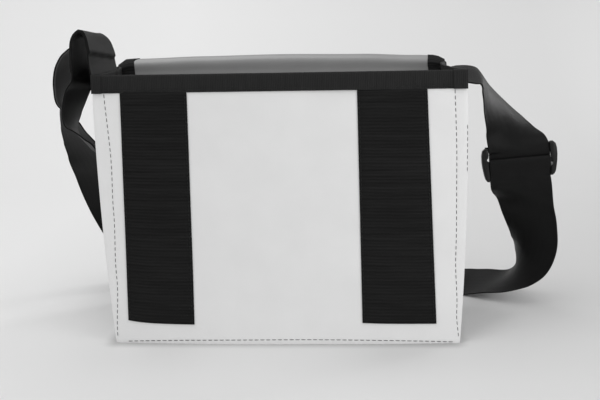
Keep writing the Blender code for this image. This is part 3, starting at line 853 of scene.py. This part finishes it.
def span_length(span):
    return lengths_along([tuple(flap_place(0, place)) for place in even(60, *span)])[-1]


def flap_sheet(name, span, rows, body):
    edge = FLAP_WIDTH / 2

    def surface(u, v):
        return flap_place(mix(edge, -edge, u), mix(*span, v))

    size = (FLAP_WIDTH, span_length(span))
    return sheet_piece(name, surface, even(90), even(rows), SHEET, "grey_tarpaulin", body, size)


def flap_tape(name, span, rows, body, direction):
    """Folded tape down one side edge of the flap sheet."""
    section = folded_section(FLAP_HALF_THICKNESS)
    edge = FLAP_WIDTH / 2
    rings = []
    for place in even(rows, *span):
        ahead = flap_place(direction * edge, min(place + TAPE_LOOK, LOWER_SPAN[1]))
        behind = flap_place(direction * edge, max(place - TAPE_LOOK, 0))
        forward = (ahead - behind).normalized()
        normal = Vector((0, forward.z, -forward.y)).normalized()
        flare = 1 + FLARE * math.exp(-((place - FLARE_PLACE) / FLARE_SPREAD) ** 2) * (direction < 0)
        ring = []
        for inward, out in section:
            spot = flap_place(direction * (edge - max(inward, 0) * flare), place)
            extra = Vector((-direction * min(inward, 0), 0, 0))
            ring.append(spot + extra + normal * (out * direction))
        rings.append(ring)
    return tape_piece(name, rings, body, section)


def make_back_wall():
    def surface(u, v):
        z = WALL_START * v + 0.0005
        x = mix(half_width(z), -half_width(z), u)
        y = half_depth(z) + ripple(x, z, 0.0005)
        return settle((x, y, z))

    wall = sheet_piece(
        "back_wall_cloth", surface, close_lines(MOUTH_WIDTH, 0.0015, 0.004, 0.012), even(60),
        SHEET, "grey_tarpaulin", "bag", (MOUTH_WIDTH, WALL_START),
    )
    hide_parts("back_panel")


# Distance on either side of the fold between the leaves; the two places it gives are not used further
FOLD_REACH = 0.006


def make_flap():
    crest = flap_sheet("flap_crest_cloth", CREST_SPAN, 44, None)
    upper = flap_sheet("flap_upper_cloth", UPPER_SPAN, 30, "flap_upper")
    lower = flap_sheet("flap_lower_cloth", LOWER_SPAN, 60, None)
    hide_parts("flap_top")
    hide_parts("flap_front")
    fold_blend = [hanging_point(0, FLAP_TOP_LENGTH + reach, 0) for reach in (-FOLD_REACH, FOLD_REACH)]
    tapes = {"crest": [], "lower": []}
    for side, direction in SIDES:
        tapes["crest"].append(flap_tape("flap_crest_tape_" + side, CREST_SPAN, 60, None, direction))
        middle = flap_tape("flap_side_tape_" + side, UPPER_SPAN, 24, "flap_upper", direction)
        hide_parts("flap_top_binding_" + side)
        tapes["lower"].append(flap_tape("flap_lower_tape_" + side, LOWER_SPAN, 50, None, direction))
    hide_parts("flap_front_binding")
    for item in [crest] + tapes["crest"]:
        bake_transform(item)
    for item in [lower] + tapes["lower"]:
        tuple(fold_blend[0])
        tuple(fold_blend[1])
        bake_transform(item)
    make_flap_end_tape()
    for side, direction in SIDES:
        make_hook_strip(side, direction)


def make_flap_end_tape():
    """Folded tape along the flap's free edge."""
    section = folded_section(FLAP_HALF_THICKNESS)
    length = FLAP_TOP_LENGTH + FLAP_FRONT_LENGTH
    edge = FLAP_WIDTH / 2 + BOUND_EDGE
    rings = []
    for share in even(100):
        x = mix(-edge, edge, share)
        rings.append([hanging_point(x, length - inward, out * 1.05) for inward, out in section])
    tape_piece("flap_end_tape", rings, "flap_lower", section)


def make_hook_strip(side, direction):
    start = FLAP_TOP_LENGTH + SEAT_GAP / 2 + HOOK_MARGIN

    def surface(u, v):
        x = direction * STRIP_SPREAD / 2 - STRIP_SHIFT + STRIP_WIDTH * (0.5 - u)
        inset = min(min(u, 1 - u) * STRIP_WIDTH, min(v, 1 - v) * HOOK_LENGTH)
        out = SHEET / 2 + 0.0002 + HOOK_THICKNESS * mix(0.35, 0.85, clamp((inset - 0.002) / 0.0012))
        return Vector(hanging_point(x, start + HOOK_LENGTH * (1 - v), out))

    item = sheet_piece(
        "hook_tape_" + side, surface, even(50), even(54), HOOK_THICKNESS * 0.3,
        "black_hook_tape", "flap_lower", (STRIP_WIDTH, HOOK_LENGTH),
    )
    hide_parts("hook_strip_" + side)


# Webbing

WEB_STEP = 0.002
# Steps across each face of the webbing and round each selvedge
FACE_STEPS = 14
SELVEDGE_STEPS = 4


def web_section(width):
    """Section of webbing as (across, out), with round selvedges a little thicker than the middle."""
    half, thick = width / 2, WEB_THICKNESS / 2
    flat = half - thick
    turns = even(SELVEDGE_STEPS, 0.3, math.pi - 0.3)
    section = [(mix(-flat, flat, s), -thick * 0.9) for s in even(FACE_STEPS)]
    section += [(flat + thick * math.sin(t), -thick * math.cos(t)) for t in turns]
    section += [(mix(flat, -flat, s), thick * 0.9) for s in even(FACE_STEPS)]
    section += [(-flat - thick * math.sin(t), thick * math.cos(t)) for t in turns]
    return section


def web_curve(stations):
    """Fine points and width directions along the smooth curve through the stations."""
    places = [np.array(place, dtype=float) for place, across in stations]
    acrosses = [np.array(across, dtype=float) / np.linalg.norm(across) for place, across in stations]
    times = lengths_along(places)
    curve = []
    for index in range(len(places) - 1):
        steps = max(1, math.ceil((times[index + 1] - times[index]) / WEB_STEP))
        for step in range(steps + (index == len(places) - 2)):
            at = index + step / steps
            curve.append((spline(places, times, at), spline(acrosses, times, at)))
    return curve


def web_rings(curve, width, lap=None):
    """Rings square to the curve; lap(index, place) gives the thickness added on the underside."""
    section = web_section(width)
    last = len(curve) - 1
    rings = []
    for index, (centre, across) in enumerate(curve):
        ahead = curve[min(index + 1, last)][0] - curve[max(index - 1, 0)][0]
        ahead /= np.linalg.norm(ahead)
        across = across - ahead * across.dot(ahead)
        across /= np.linalg.norm(across)
        out = np.cross(ahead, across)
        ring = []
        for wide, thick in section:
            place = centre + across * wide
            extra = lap(index, place) if lap and thick < 0 else 0
            ring.append(place + out * (thick - extra))
        rings.append(np.array(ring))
    return rings


def lift_rings(rings):
    """Lifts each ring that would sink into the floor."""
    for ring in rings:
        ring[:, 2] += max(0, SEAT_GAP - ring[:, 2].min())
    return rings


def web_piece(name, rings, body, width):
    """Webbing through the rings; its weave is measured square across it."""
    across = [wide for wide, thick in web_section(width)]
    return ring_piece(name, rings, "black_webbing", body, across)


# First face of the section on the side that gets painted shade
SHADED_SIDE_FIRST = FACE_STEPS + SELVEDGE_STEPS + 1


def paint_shaded_side(item, ring_count):
    """Paints shade on one side of the webbing: its faces get a darker, less shiny copy of the webbing."""
    item.data.materials.append(SHADED_SIDE_WEBBING)
    sides = len(web_section(WEB_WIDTH))
    for index in range((ring_count - 1) * sides):
        if SHADED_SIDE_FIRST <= index % sides < SHADED_SIDE_FIRST + FACE_STEPS:
            item.data.polygons[index].material_index = 1


# How far the far selvedge curls back between the slider and the crest, and over what heights
CURL = 0.0036
CURL_HEIGHTS = (0.140, 0.152, 0.182, 0.192)
# The curl lies right of this x. It starts this far from the middle line and grows over this width
CURL_RIGHT_OF = 0.13
CURL_FROM = 0.004
CURL_WIDTH = 0.019


def curl_selvedge(rings, curve):
    """Bends the far selvedge back where the webbing climbs from the slider to the crest."""
    low, full, fade, high = CURL_HEIGHTS
    for index, (ring, (centre, across)) in enumerate(zip(rings, curve)):
        if centre[0] < CURL_RIGHT_OF:
            continue
        amount = min(clamp((centre[2] - low) / (full - low)), clamp((high - centre[2]) / (high - fade)))
        ahead = curve[min(index + 1, len(curve) - 1)][0] - curve[index - 1][0]
        out = np.cross(ahead, across)
        out /= np.linalg.norm(out)
        for row, (wide, thick) in zip(ring, web_section(WEB_WIDTH)):
            row += out * (CURL * amount * clamp((wide - CURL_FROM) / CURL_WIDTH) ** 2)


def gusset_web_x(z):
    return half_width(z) + SEAT_GAP + WEB_THICKNESS / 2


def side_face_x(z):
    return gusset_web_x(z) + BOUND_EDGE


def strap_place(shares):
    """A place in metres from its shares of the strap plane, half the base depth and the height."""
    return (shares[0] * STRAP_PLANE, shares[1] * BASE_DEPTH / 2, shares[2] * HEIGHT)


def placed(rows):
    return [(strap_place(shares), across) for shares, across in rows]


def slider_axes():
    """The slider's middle, the way its bars run, and the way down the webbing."""
    bars = Vector((math.cos(SLIDER_ANGLE), 0, math.sin(SLIDER_ANGLE)))
    down = Vector((math.sin(SLIDER_ANGLE), 0, -math.cos(SLIDER_ANGLE)))
    return Vector(strap_place(SLIDER_PLACE_SHARES)), bars, down


def sewn_stations(direction, top_share):
    """Webbing sewn up the outside of a side panel, from its lower end to the top of the seam."""
    top = HEIGHT * top_share
    stations = []
    for share in even(4):
        z = top - STRAP_SEAM_LENGTH * (1 - share)
        stations.append(((direction * side_face_x(z), STRAP_SETBACK, z), (0, 1, 0)))
    return stations


def strap_stations():
    """The whole strap, from its sewn left end round to its sewn right end."""
    stations = sewn_stations(-1, LEFT_SEAM_TOP)
    stations.append(((-1.035 * MOUTH_WIDTH / 2, STRAP_SETBACK, HEIGHT), (0, 1, 0)))
    stations.append(((-0.998 * STRAP_PLANE, STRAP_SETBACK, 1.046 * HEIGHT), (0, 1, 0)))
    stations += placed(STRAP_LEFT_SHARES)
    for shares, across in FLOOR_RUN_SHARES:
        drop = abs(Vector(across).normalized().z)
        z = SEAT_GAP + WEB_THICKNESS / 2 + WEB_WIDTH / 2 * drop
        stations.append(((shares[0] * STRAP_PLANE, shares[1] * BASE_DEPTH / 2, z), across))
    stations += placed(STRAP_RISE_SHARES)
    middle, bars, down = slider_axes()
    stations += [(tuple(middle + down * along), tuple(bars)) for along in STRAIGHT_PLACES]
    stations += placed(STRAP_CREST_SHARES)
    return stations + sewn_stations(1, RIGHT_SEAM_TOP)[::-1]


def settle_sewn(rings):
    """The sewn ends sink with the side panels; the rest hangs free."""
    face = side_face_x(HEIGHT)
    for ring in rings:
        for row in ring:
            if row[1] < BASE_DEPTH / 2 and row[2] > HEIGHT / 2:
                loose = clamp((abs(row[0]) - face) / (STRAP_PLANE - face))
                row[0] = mix(settle(tuple(row))[0], row[0], loose * loose * (3 - 2 * loose))


# The strap swings as one body between these places in x; its two end pieces between the bag and it belong to
# no body
LEFT_FREE_X = -0.1772
RIGHT_FREE_X = 0.1715


def steps_until(centres, axis, sign, limit):
    """Index of the first centre past the limit on that axis, in the direction of the sign."""
    return next(index for index, centre in enumerate(centres) if sign * centre[axis] > limit)


def make_strap():
    curve = web_curve(strap_stations())
    rings = lift_rings(web_rings(curve, WEB_WIDTH))
    curl_selvedge(rings, curve)
    settle_sewn(rings)
    centres = [centre for centre, across in curve]
    count = len(centres)
    cuts = [
        steps_until(centres, 2, 1, LEFT_SEAM_TOP * HEIGHT),
        steps_until(centres, 0, -1, -LEFT_FREE_X),
        count - steps_until(centres[::-1], 0, 1, RIGHT_FREE_X),
        count - steps_until(centres[::-1], 2, 1, RIGHT_SEAM_TOP * HEIGHT),
    ]
    spans = zip([0] + cuts, cuts + [count - 1])
    names = ("strap_start_seam", "strap_start", "strap", "strap_finish", "strap_finish_seam")
    bodies = ("bag", None, "strap", None, "bag")
    pieces = {}
    for name, body, (first, last) in zip(names, bodies, spans):
        pieces[name] = web_piece(name + "_web", rings[first:last + 1], body, WEB_WIDTH)
        # One side of each piece gets painted shade
        paint_shaded_side(pieces[name], last + 1 - first)
    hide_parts("strap_end_left")
    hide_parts("shoulder_strap")
    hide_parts("strap_end_right")
    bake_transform(pieces["strap_start"])
    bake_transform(pieces["strap_finish"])


# The loop's second layer of webbing: thickness, heights where it ends, slant and taper of its end
LAP_THICKNESS = 0.0013
LAP_LINE = 0.2105
LAP_FOOT = 0.1990
LAP_SLANT = 0.12
LAP_TAPER = 0.0008


def make_side_loop():
    def sewn(heights):
        places = [(-gusset_web_x(HEIGHT * share), -LOOP_SETBACK, HEIGHT * share) for share in heights]
        return [(tuple(settle(place)), (0, 1, 0)) for place in places]

    curve = web_curve(sewn(LOOP_SEWN_HEIGHTS) + placed(SIDE_LOOP_SHARES) + sewn(LOOP_FOOT_HEIGHTS))
    turn = max(range(len(curve)), key=lambda index: curve[index][0][2])

    def lap(index, place):
        low = LAP_LINE - LAP_SLANT * (place[1] + LOOP_SETBACK) if index < turn else LAP_FOOT
        return LAP_THICKNESS * clamp((place[2] - low) / LAP_TAPER)

    rings = web_rings(curve, LOOP_WIDTH, lap)
    for ring, (centre, across) in zip(rings, curve):
        sewn_share = clamp((0.97 - centre[2] / HEIGHT) / 0.05)
        hold = sewn_share * clamp(1 - (abs(centre[0]) - half_width(centre[2])) / 0.004)
        sink = settle(tuple(centre))[0] - centre[0]
        for row in ring:
            row[0] += hold * (settle(tuple(row))[0] - row[0] - sink)
    item = web_piece("side_loop_web", rings, "bag", LOOP_WIDTH)
    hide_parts("side_loop")


# Slider

def rounded_outline(half_wide, half_tall, radius):
    """Rounded rectangle as (wide, tall)."""
    places = []
    corners = ((1, 1), (-1, 1), (-1, -1), (1, -1))
    for quarter, (wide, tall) in enumerate(corners):
        for s in even(5):
            turn = (quarter + s) * math.pi / 2
            places.append((
                wide * (half_wide - radius) + radius * math.cos(turn),
                tall * (half_tall - radius) + radius * math.sin(turn),
            ))
    return places


def bar_rings(start, end, section, down, depth):
    """Rings of a bar between two places; its section lies across the way it runs."""
    rings = []
    for share in even(12):
        middle = start.lerp(end, share)
        rings.append([middle + down * tall + depth * deep for deep, tall in section])
    return rings


# Outline of an end of the slider, as (out from the webbing, down) in metres, outside then inside
EAR_OUTER = (
    (-0.0004, -0.0126), (0.0022, -0.0128), (0.0040, -0.0112), (0.0048, -0.0080), (0.0050, -0.0030),
    (0.0046, 0.0020), (0.0038, 0.0070), (0.0030, 0.0106), (0.0016, 0.0126), (-0.0002, 0.0128),
)
EAR_INNER = {
    -1: (
        (-0.0006, 0.0100), (-0.0004, 0.0000), (-0.0002, -0.0030), (0.0008, -0.0036), (0.0010, -0.0046),
        (0.0007, -0.0056), (-0.0002, -0.0062), (-0.0005, -0.0084), (-0.0006, -0.0108),
    ),
    1: (
        (-0.0006, 0.0100), (-0.0006, 0.0066), (0.0000, 0.0058), (0.0010, 0.0044), (0.0013, 0.0022),
        (0.0011, 0.0006), (0.0001, -0.0004), (-0.0005, -0.0060), (-0.0006, -0.0108),
    ),
}
# How far down each end sits on the bars
EAR_SHIFTS = {-1: 0.0010, 1: -0.0012}
# Rounding of the ends' faces, as (depth from the face, share of the full outline)
EAR_ROUNDING = ((0.0, 0.72), (0.0003, 0.86), (0.0009, 0.96), (0.0018, 1.0))


def ear_rings(middle, bars, down, depth, direction):
    """An end of the slider, from its front face to its back, with rounded edges."""
    outline = [np.array(place) for place in EAR_OUTER + EAR_INNER[direction]]
    centre = sum(outline) / len(outline)
    levels = [(-SLIDER_FRONT + inset, size) for inset, size in EAR_ROUNDING]
    levels += [(SLIDER_BACK - inset, size) for inset, size in EAR_ROUNDING[::-1]]
    rings = []
    for deep, size in levels:
        ring = []
        for place in outline:
            out, fall = centre + (place - centre) * (size, mix(1, size, 0.4))
            reach = WEB_WIDTH / 2 + SLIDER_SIDE_GAP + out
            spot = middle + bars * (direction * reach) + down * (fall + EAR_SHIFTS[direction])
            ring.append(spot + depth * deep)
        rings.append(ring)
    return rings


# Webbing folded over the middle bar and sewn below it, as (down, forward) in metres
FOLD_THICKNESS = 0.0011
FOLD_PATH = (
    (-0.0026, 0.0012), (-0.0032, 0.0022), (-0.0029, 0.0033), (-0.0018, 0.0040), (0.0008, 0.0042),
    (0.0035, 0.0034), (0.0060, 0.0022), (0.0085, 0.0012), (0.0110, 0.0004), (0.0135, -0.0004),
)


def make_slider():
    middle, bars, down = slider_axes()
    depth = Vector((0, 1, 0))
    tall = SLIDER_HEIGHT / 2
    pieces = []
    for direction in (-1, 1):
        rings = ear_rings(middle, bars, down, depth, direction)
        pieces.append(ring_piece("slider_ear", rings, "black_plastic", None))
    near = -WEB_THICKNESS / 2 - SEAT_GAP
    far = WEB_THICKNESS / 2 + SEAT_GAP
    # The bars' heights, depths from and to, and sizes
    specs = (
        (tall - SLIDER_BAR / 2, far, SLIDER_BACK, SLIDER_BAR),
        (-tall + SLIDER_BAR / 2, far, SLIDER_BACK, SLIDER_BAR),
        (0.0, -SLIDER_FRONT + FOLD_THICKNESS, near, SLIDER_CENTRE_BAR - FOLD_THICKNESS),
    )
    reach = WEB_WIDTH / 2 + SLIDER_SIDE_GAP + SLIDER_EAR / 2
    for high, low_y, high_y, size in specs:
        centre = middle + down * high + depth * ((low_y + high_y) / 2)
        section = rounded_outline((high_y - low_y) / 2, size / 2, 0.0005)
        rings = bar_rings(centre - bars * reach, centre + bars * reach, section, down, depth)
        pieces.append(ring_piece("slider_bar", rings, "black_plastic", None))
    frame_item = join(pieces, "slider_frame", "strap_slider")
    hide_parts("slider")
    make_slider_fold(middle, bars, down)


def make_slider_fold(middle, bars, down):
    stations = []
    for fall, forward in FOLD_PATH:
        place = middle + down * fall - Vector((0, forward, 0))
        stations.append((tuple(place), tuple(bars)))
    rings = web_rings(web_curve(stations), WEB_WIDTH)
    web_piece("slider_fold_web", rings, "strap_slider", WEB_WIDTH)


def join(pieces, name, body):
    first = pieces[0]
    with bpy.context.temp_override(active_object=first, selected_editable_objects=pieces):
        bpy.ops.object.join()
    first.name = name
    first.data.name = name
    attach(first, body)
    return first


# Stitches

STITCH_SIDES = 6
STITCH_STEPS = 6
# Reach of the look ahead and back that gives a stitch's direction
STITCH_LOOK = 0.0002


def stitch_run(name, place, material, slot, pitch=STITCH_PITCH, space=STITCH_SPACE, radius=STITCH_RADIUS):
    """A row of stitches along place(share), which gives a point and the way out of the cloth."""
    samples = [place(s) for s in even(240)]
    points = np.array([tuple(point) for point, out in samples])
    outs = np.array([tuple(out) for point, out in samples])
    lengths = lengths_along(points)

    def read(values, at):
        return np.array([np.interp(at, lengths, values[:, k]) for k in range(3)])

    vertices, faces, uvs = [], [], []
    for index in range(max(1, int(lengths[-1] / pitch))):
        start = index * pitch + space / 2
        end = (index + 1) * pitch - space / 2
        base = len(vertices)
        for step in range(STITCH_STEPS + 1):
            share = step / STITCH_STEPS
            at = mix(start, end, share)
            out = read(outs, at)
            forward = read(points, at + STITCH_LOOK) - read(points, at - STITCH_LOOK)
            forward /= max(np.linalg.norm(forward), 1e-9)
            sideways = np.cross(forward, out)
            sideways /= max(np.linalg.norm(sideways), 1e-9)
            bow = math.sin(math.pi * share)
            thick = radius * mix(0.45, 1.0, bow ** 0.5)
            centre = read(points, at) + out * (radius * mix(-0.9, 0.55, bow ** 0.6))
            for side in range(STITCH_SIDES):
                turn = 2 * math.pi * side / STITCH_SIDES
                vertices.append(centre + sideways * (thick * math.cos(turn)) + out * (thick * math.sin(turn)))
                uvs.append((thick * turn, at))
        for step in range(STITCH_STEPS):
            for side in range(STITCH_SIDES):
                after = (side + 1) % STITCH_SIDES
                a, b = base + step * STITCH_SIDES, base + (step + 1) * STITCH_SIDES
                faces.append((a + side, a + after, b + after, b + side))
        last = base + STITCH_STEPS * STITCH_SIDES
        faces.append(tuple(range(base, base + STITCH_SIDES))[::-1])
        faces.append(tuple(range(last, last + STITCH_SIDES)))
    return make_object(name, vertices, faces, uvs, slot, "bag", material)


# Pitch, space and radius of the finer rows of stitches
EDGE_STITCH = (0.0043, 0.0012, 0.0002)
CREST_STITCH = (0.0040, 0.0022, 0.0002)
RIM_STITCH = (0.0036, 0.0009, 0.0002)
TAPE_STITCH = (0.0034, 0.0008, 0.0002)
# Lowest place of the side rows, the foot row's ends and the edge row's place as shares of the width
SEAM_END = 0.003
FOOT_STITCH_SPAN = (0.035, 0.985)
EDGE_STITCH_SHARE = 0.9988
# Heights between which thread shows on the right edge, and places across the crest where it does
EDGE_STITCH_SPAN = (0.160, 0.122)
CREST_STITCH_SPAN = (-0.122, -0.086)
CREST_STITCH_PLACE = 2.35
# The tapes' side rows, as shares of their width
TAPE_ROWS = {"near": 0.030, "far": 0.970}
FORWARD = Vector((0, -1, 0))


def front_run(share_of, z_of, out=0.0):
    return lambda s: (front_point(share_of(s), z_of(s), out), FORWARD)


def strip_run(side, u_span, v_span):
    """A row on a loop tape, straight between two places given as shares of it."""
    def place(s):
        return strip_point(side, mix(*u_span, s), mix(*v_span, s), LOOP_THICKNESS * 0.47), FORWARD
    return place


def crest_run(s):
    point = flap_place(mix(*CREST_STITCH_SPAN, s), CREST_STITCH_PLACE)
    return point - Vector((0, SHEET * 0.5, 0)), Vector((0, -1, 0.3))


def make_stitches():
    white, pile = "white_tarpaulin", "black_loop_pile"
    seam_top = HEIGHT - TAPE_DROP
    for side, insets in (("left", LEFT_STITCH_INSETS), ("right", RIGHT_STITCH_INSETS)):
        def share_of(s, side=side, insets=insets):
            z = mix(seam_top, SEAM_END, s)
            share = table_value(insets, z / HEIGHT) / (2 * half_width(z))
            return share if side == "left" else 1 - share

        run = front_run(share_of, lambda s: mix(seam_top, SEAM_END, s))
        stitch_run("seam_stitches_" + side, run, THREAD, white)
    foot = front_run(
        lambda s: mix(*FOOT_STITCH_SPAN, s), lambda s: foot_stitch_z(mix(*FOOT_STITCH_SPAN, s)), 0.0001,
    )
    stitch_run("seam_stitches_foot", foot, THREAD, white)
    edge = front_run(lambda s: EDGE_STITCH_SHARE, lambda s: mix(*EDGE_STITCH_SPAN, s), 0.0001)
    stitch_run("edge_stitches_right", edge, THREAD, white, *EDGE_STITCH)
    stitch_run("crest_stitches", crest_run, PALE_THREAD, "grey_tarpaulin", *CREST_STITCH)
    hem = front_run(lambda s: mix(0.004, 0.996, s), lambda s: seam_top + 0.0022, TAPE + SEAT_GAP)
    stitch_run("rim_stitches_front", hem, BLACK_THREAD, "black_binding", *RIM_STITCH)
    for side in ("left", "right"):
        runs = {row: strip_run(side, (u, u), (0.008, 0.985)) for row, u in TAPE_ROWS.items()}
        runs["foot"] = strip_run(side, (0.03, 0.97), (0.010, 0.010))
        for row, run in runs.items():
            stitch_run(f"tape_stitches_{side}_{row}", run, BLACK_THREAD, pile, *TAPE_STITCH)


# Surroundings

# Where the camera stands, and how it is turned, in degrees
CAMERA_PLACE = (0.0607, -0.7592, 0.2405)
CAMERA_YAW = -3.83
CAMERA_PITCH = 10.72
CAMERA_ROLL = -1.13
CAMERA_LENS = 60
CAMERA_SENSOR = 36


def make_camera():
    yaw, pitch, roll = (math.radians(angle) for angle in (CAMERA_YAW, CAMERA_PITCH, CAMERA_ROLL))
    forward = Vector((
        math.sin(yaw) * math.cos(pitch), math.cos(yaw) * math.cos(pitch), -math.sin(pitch),
    ))
    level = Vector((math.cos(yaw), -math.sin(yaw), 0))
    upright = level.cross(forward)
    right = level * math.cos(roll) + upright * math.sin(roll)
    up = upright * math.cos(roll) - level * math.sin(roll)
    data = bpy.data.cameras.new("camera")
    data.lens = CAMERA_LENS
    data.sensor_width = CAMERA_SENSOR
    item = bpy.data.objects.new("camera", data)
    turned = Matrix((right, up, -forward)).transposed()
    item.matrix_world = Matrix.Translation(CAMERA_PLACE) @ turned.to_4x4()
    bpy.context.scene.collection.objects.link(item)
    bpy.context.scene.camera = item


# Where the floor starts to rise into the backdrop, and how it bends
SWEEP_START = 0.6
SWEEP_RADIUS = 1.2
# Over what span its painted light falloff changes its colour, sideways and backwards
FLOOR_SIDES = (-0.3, 0.4)
FLOOR_DEPTHS = (-0.1, 1.3)
# The floor's colour as the camera sees it, left and right, with painted light falloff that darkens it to the
# right and towards the front, and as everything else sees it
FLOOR_FRONT = (0.79, 0.49)
FLOOR_BACK = (0.945, 0.73)
FLOOR_UNSEEN = 0.72
# Painted contact shadow where the bag meets the floor: its darkest factor, and how far it reaches
FOOT_SHADE = 0.62
FOOT_SHADE_REACH = 0.014


def painted_foot_shadow(tree, x, y):
    """Painted contact shadow: a factor that falls towards the bag's foot."""
    squares = []
    for place, edge in ((x, BASE_WIDTH / 2 - 0.004), (y, BASE_DEPTH / 2)):
        beyond = calc(tree, "SUBTRACT", calc(tree, "ABSOLUTE", place), edge)
        beyond = calc(tree, "MAXIMUM", beyond, 0.0)
        squares.append(calc(tree, "MULTIPLY", beyond, beyond))
    away = calc(tree, "SQRT", calc(tree, "ADD", *squares))
    inputs = {"Value": away, "From Max": FOOT_SHADE_REACH, "To Min": FOOT_SHADE, "To Max": 1.0}
    return node(tree, "MapRange", inputs, interpolation_type="SMOOTHSTEP").outputs[0]


def floor_painted_light(tree, shader):
    """Grey with painted light falloff sideways and backwards, and a painted contact shadow near the bag's
    foot; only the camera sees it.
    """
    place = node(tree, "TexCoord").outputs["Object"]
    x, y = node(tree, "SeparateXYZ", {0: place}).outputs[:2]
    sideways = node(tree, "MapRange", {"Value": x, "From Min": FLOOR_SIDES[0], "From Max": FLOOR_SIDES[1]})
    behind = node(tree, "MapRange", {"Value": y, "From Min": FLOOR_DEPTHS[0], "From Max": FLOOR_DEPTHS[1]})
    # Painted light falloff: darker to the right and towards the front
    front = ranged(tree, sideways.outputs[0], *FLOOR_FRONT)
    back = ranged(tree, sideways.outputs[0], *FLOOR_BACK)
    level = calc(tree, "MULTIPLY_ADD", behind.outputs[0], calc(tree, "SUBTRACT", back, front), front)
    seen = node(tree, "LightPath").outputs["Is Camera Ray"]
    # Painted contact shadow near the bag's foot
    level = calc(tree, "MULTIPLY", level, painted_foot_shadow(tree, x, y))
    level = calc(tree, "MULTIPLY_ADD", seen, calc(tree, "SUBTRACT", level, FLOOR_UNSEEN), FLOOR_UNSEEN)
    colour_by(tree, shader, level, 0.0, 1.0)


def make_floor():
    """A pale surface that rises into the backdrop in one sweep."""
    bend = SWEEP_RADIUS
    profile = [(-3.0, 0.0), (SWEEP_START, 0.0)]
    for turn in even(24, 0, math.pi / 2):
        profile.append((SWEEP_START + bend * math.sin(turn), bend - bend * math.cos(turn)))
    profile += [(SWEEP_START + bend, 4.0)]
    points = [(side * 4.0, y, z) for y, z in profile for side in (-1, 1)]
    faces = [(a, a + 1, a + 3, a + 2) for a in range(0, len(points) - 2, 2)]
    mesh = bpy.data.meshes.new("floor")
    mesh.from_pydata(points, [], faces)
    mesh.shade_smooth()
    material, tree, shader = shaded("pale_floor", 0.7)
    floor_painted_light(tree, shader)
    mesh.materials.append(material)
    item = bpy.data.objects.new("floor", mesh)
    bpy.context.scene.collection.objects.link(item)


# Area lights: name, place, target, size and power in watts
LIGHTS = (
    ("overhead", (-0.5, -0.2, 1.6), (0, 0, 0.1), (1.6, 1.2), 12),
    ("front_left", (-1.1, -1.3, 0.9), (0, 0, 0.1), (1.0, 1.0), 4.5),
    ("front_right", (0.55, -0.45, 0.35), (0.05, 0, 0.1), (0.35, 0.35), 1.3),
    ("side_right", (1.22, 0.96, 0.65), (0.16, 0.02, 0.16), (0.4, 0.8), 7),
)
WORLD_STRENGTH = 0.55


def area_light(name, place, target, size, power):
    data = bpy.data.lights.new(name, "AREA")
    data.shape = "RECTANGLE"
    data.size, data.size_y = size
    data.energy = power
    item = bpy.data.objects.new(name, data)
    item.location = place
    item.rotation_euler = (Vector(target) - Vector(place)).to_track_quat("-Z", "Y").to_euler()
    bpy.context.scene.collection.objects.link(item)


def make_light():
    world = bpy.data.worlds.new("studio")
    bpy.context.scene.world = world
    world.use_nodes = True
    background = world.node_tree.nodes["Background"]
    background.inputs["Color"].default_value = (1, 1, 1, 1)
    background.inputs["Strength"].default_value = WORLD_STRENGTH
    for spec in LIGHTS:
        area_light(*spec)


def main():
    scene = bpy.context.scene
    scene.view_settings.view_transform = "Standard"
    make_camera()
    make_front_panel()
    make_back_wall()
    make_base()
    make_front_binding()
    for side, direction in SIDES:
        make_gusset(side, direction)
        make_side_binding(side, direction)
        make_loop_strip(side)
    make_flap()
    make_strap()
    make_side_loop()
    make_slider()
    make_stitches()
    make_floor()
    make_light()


main()
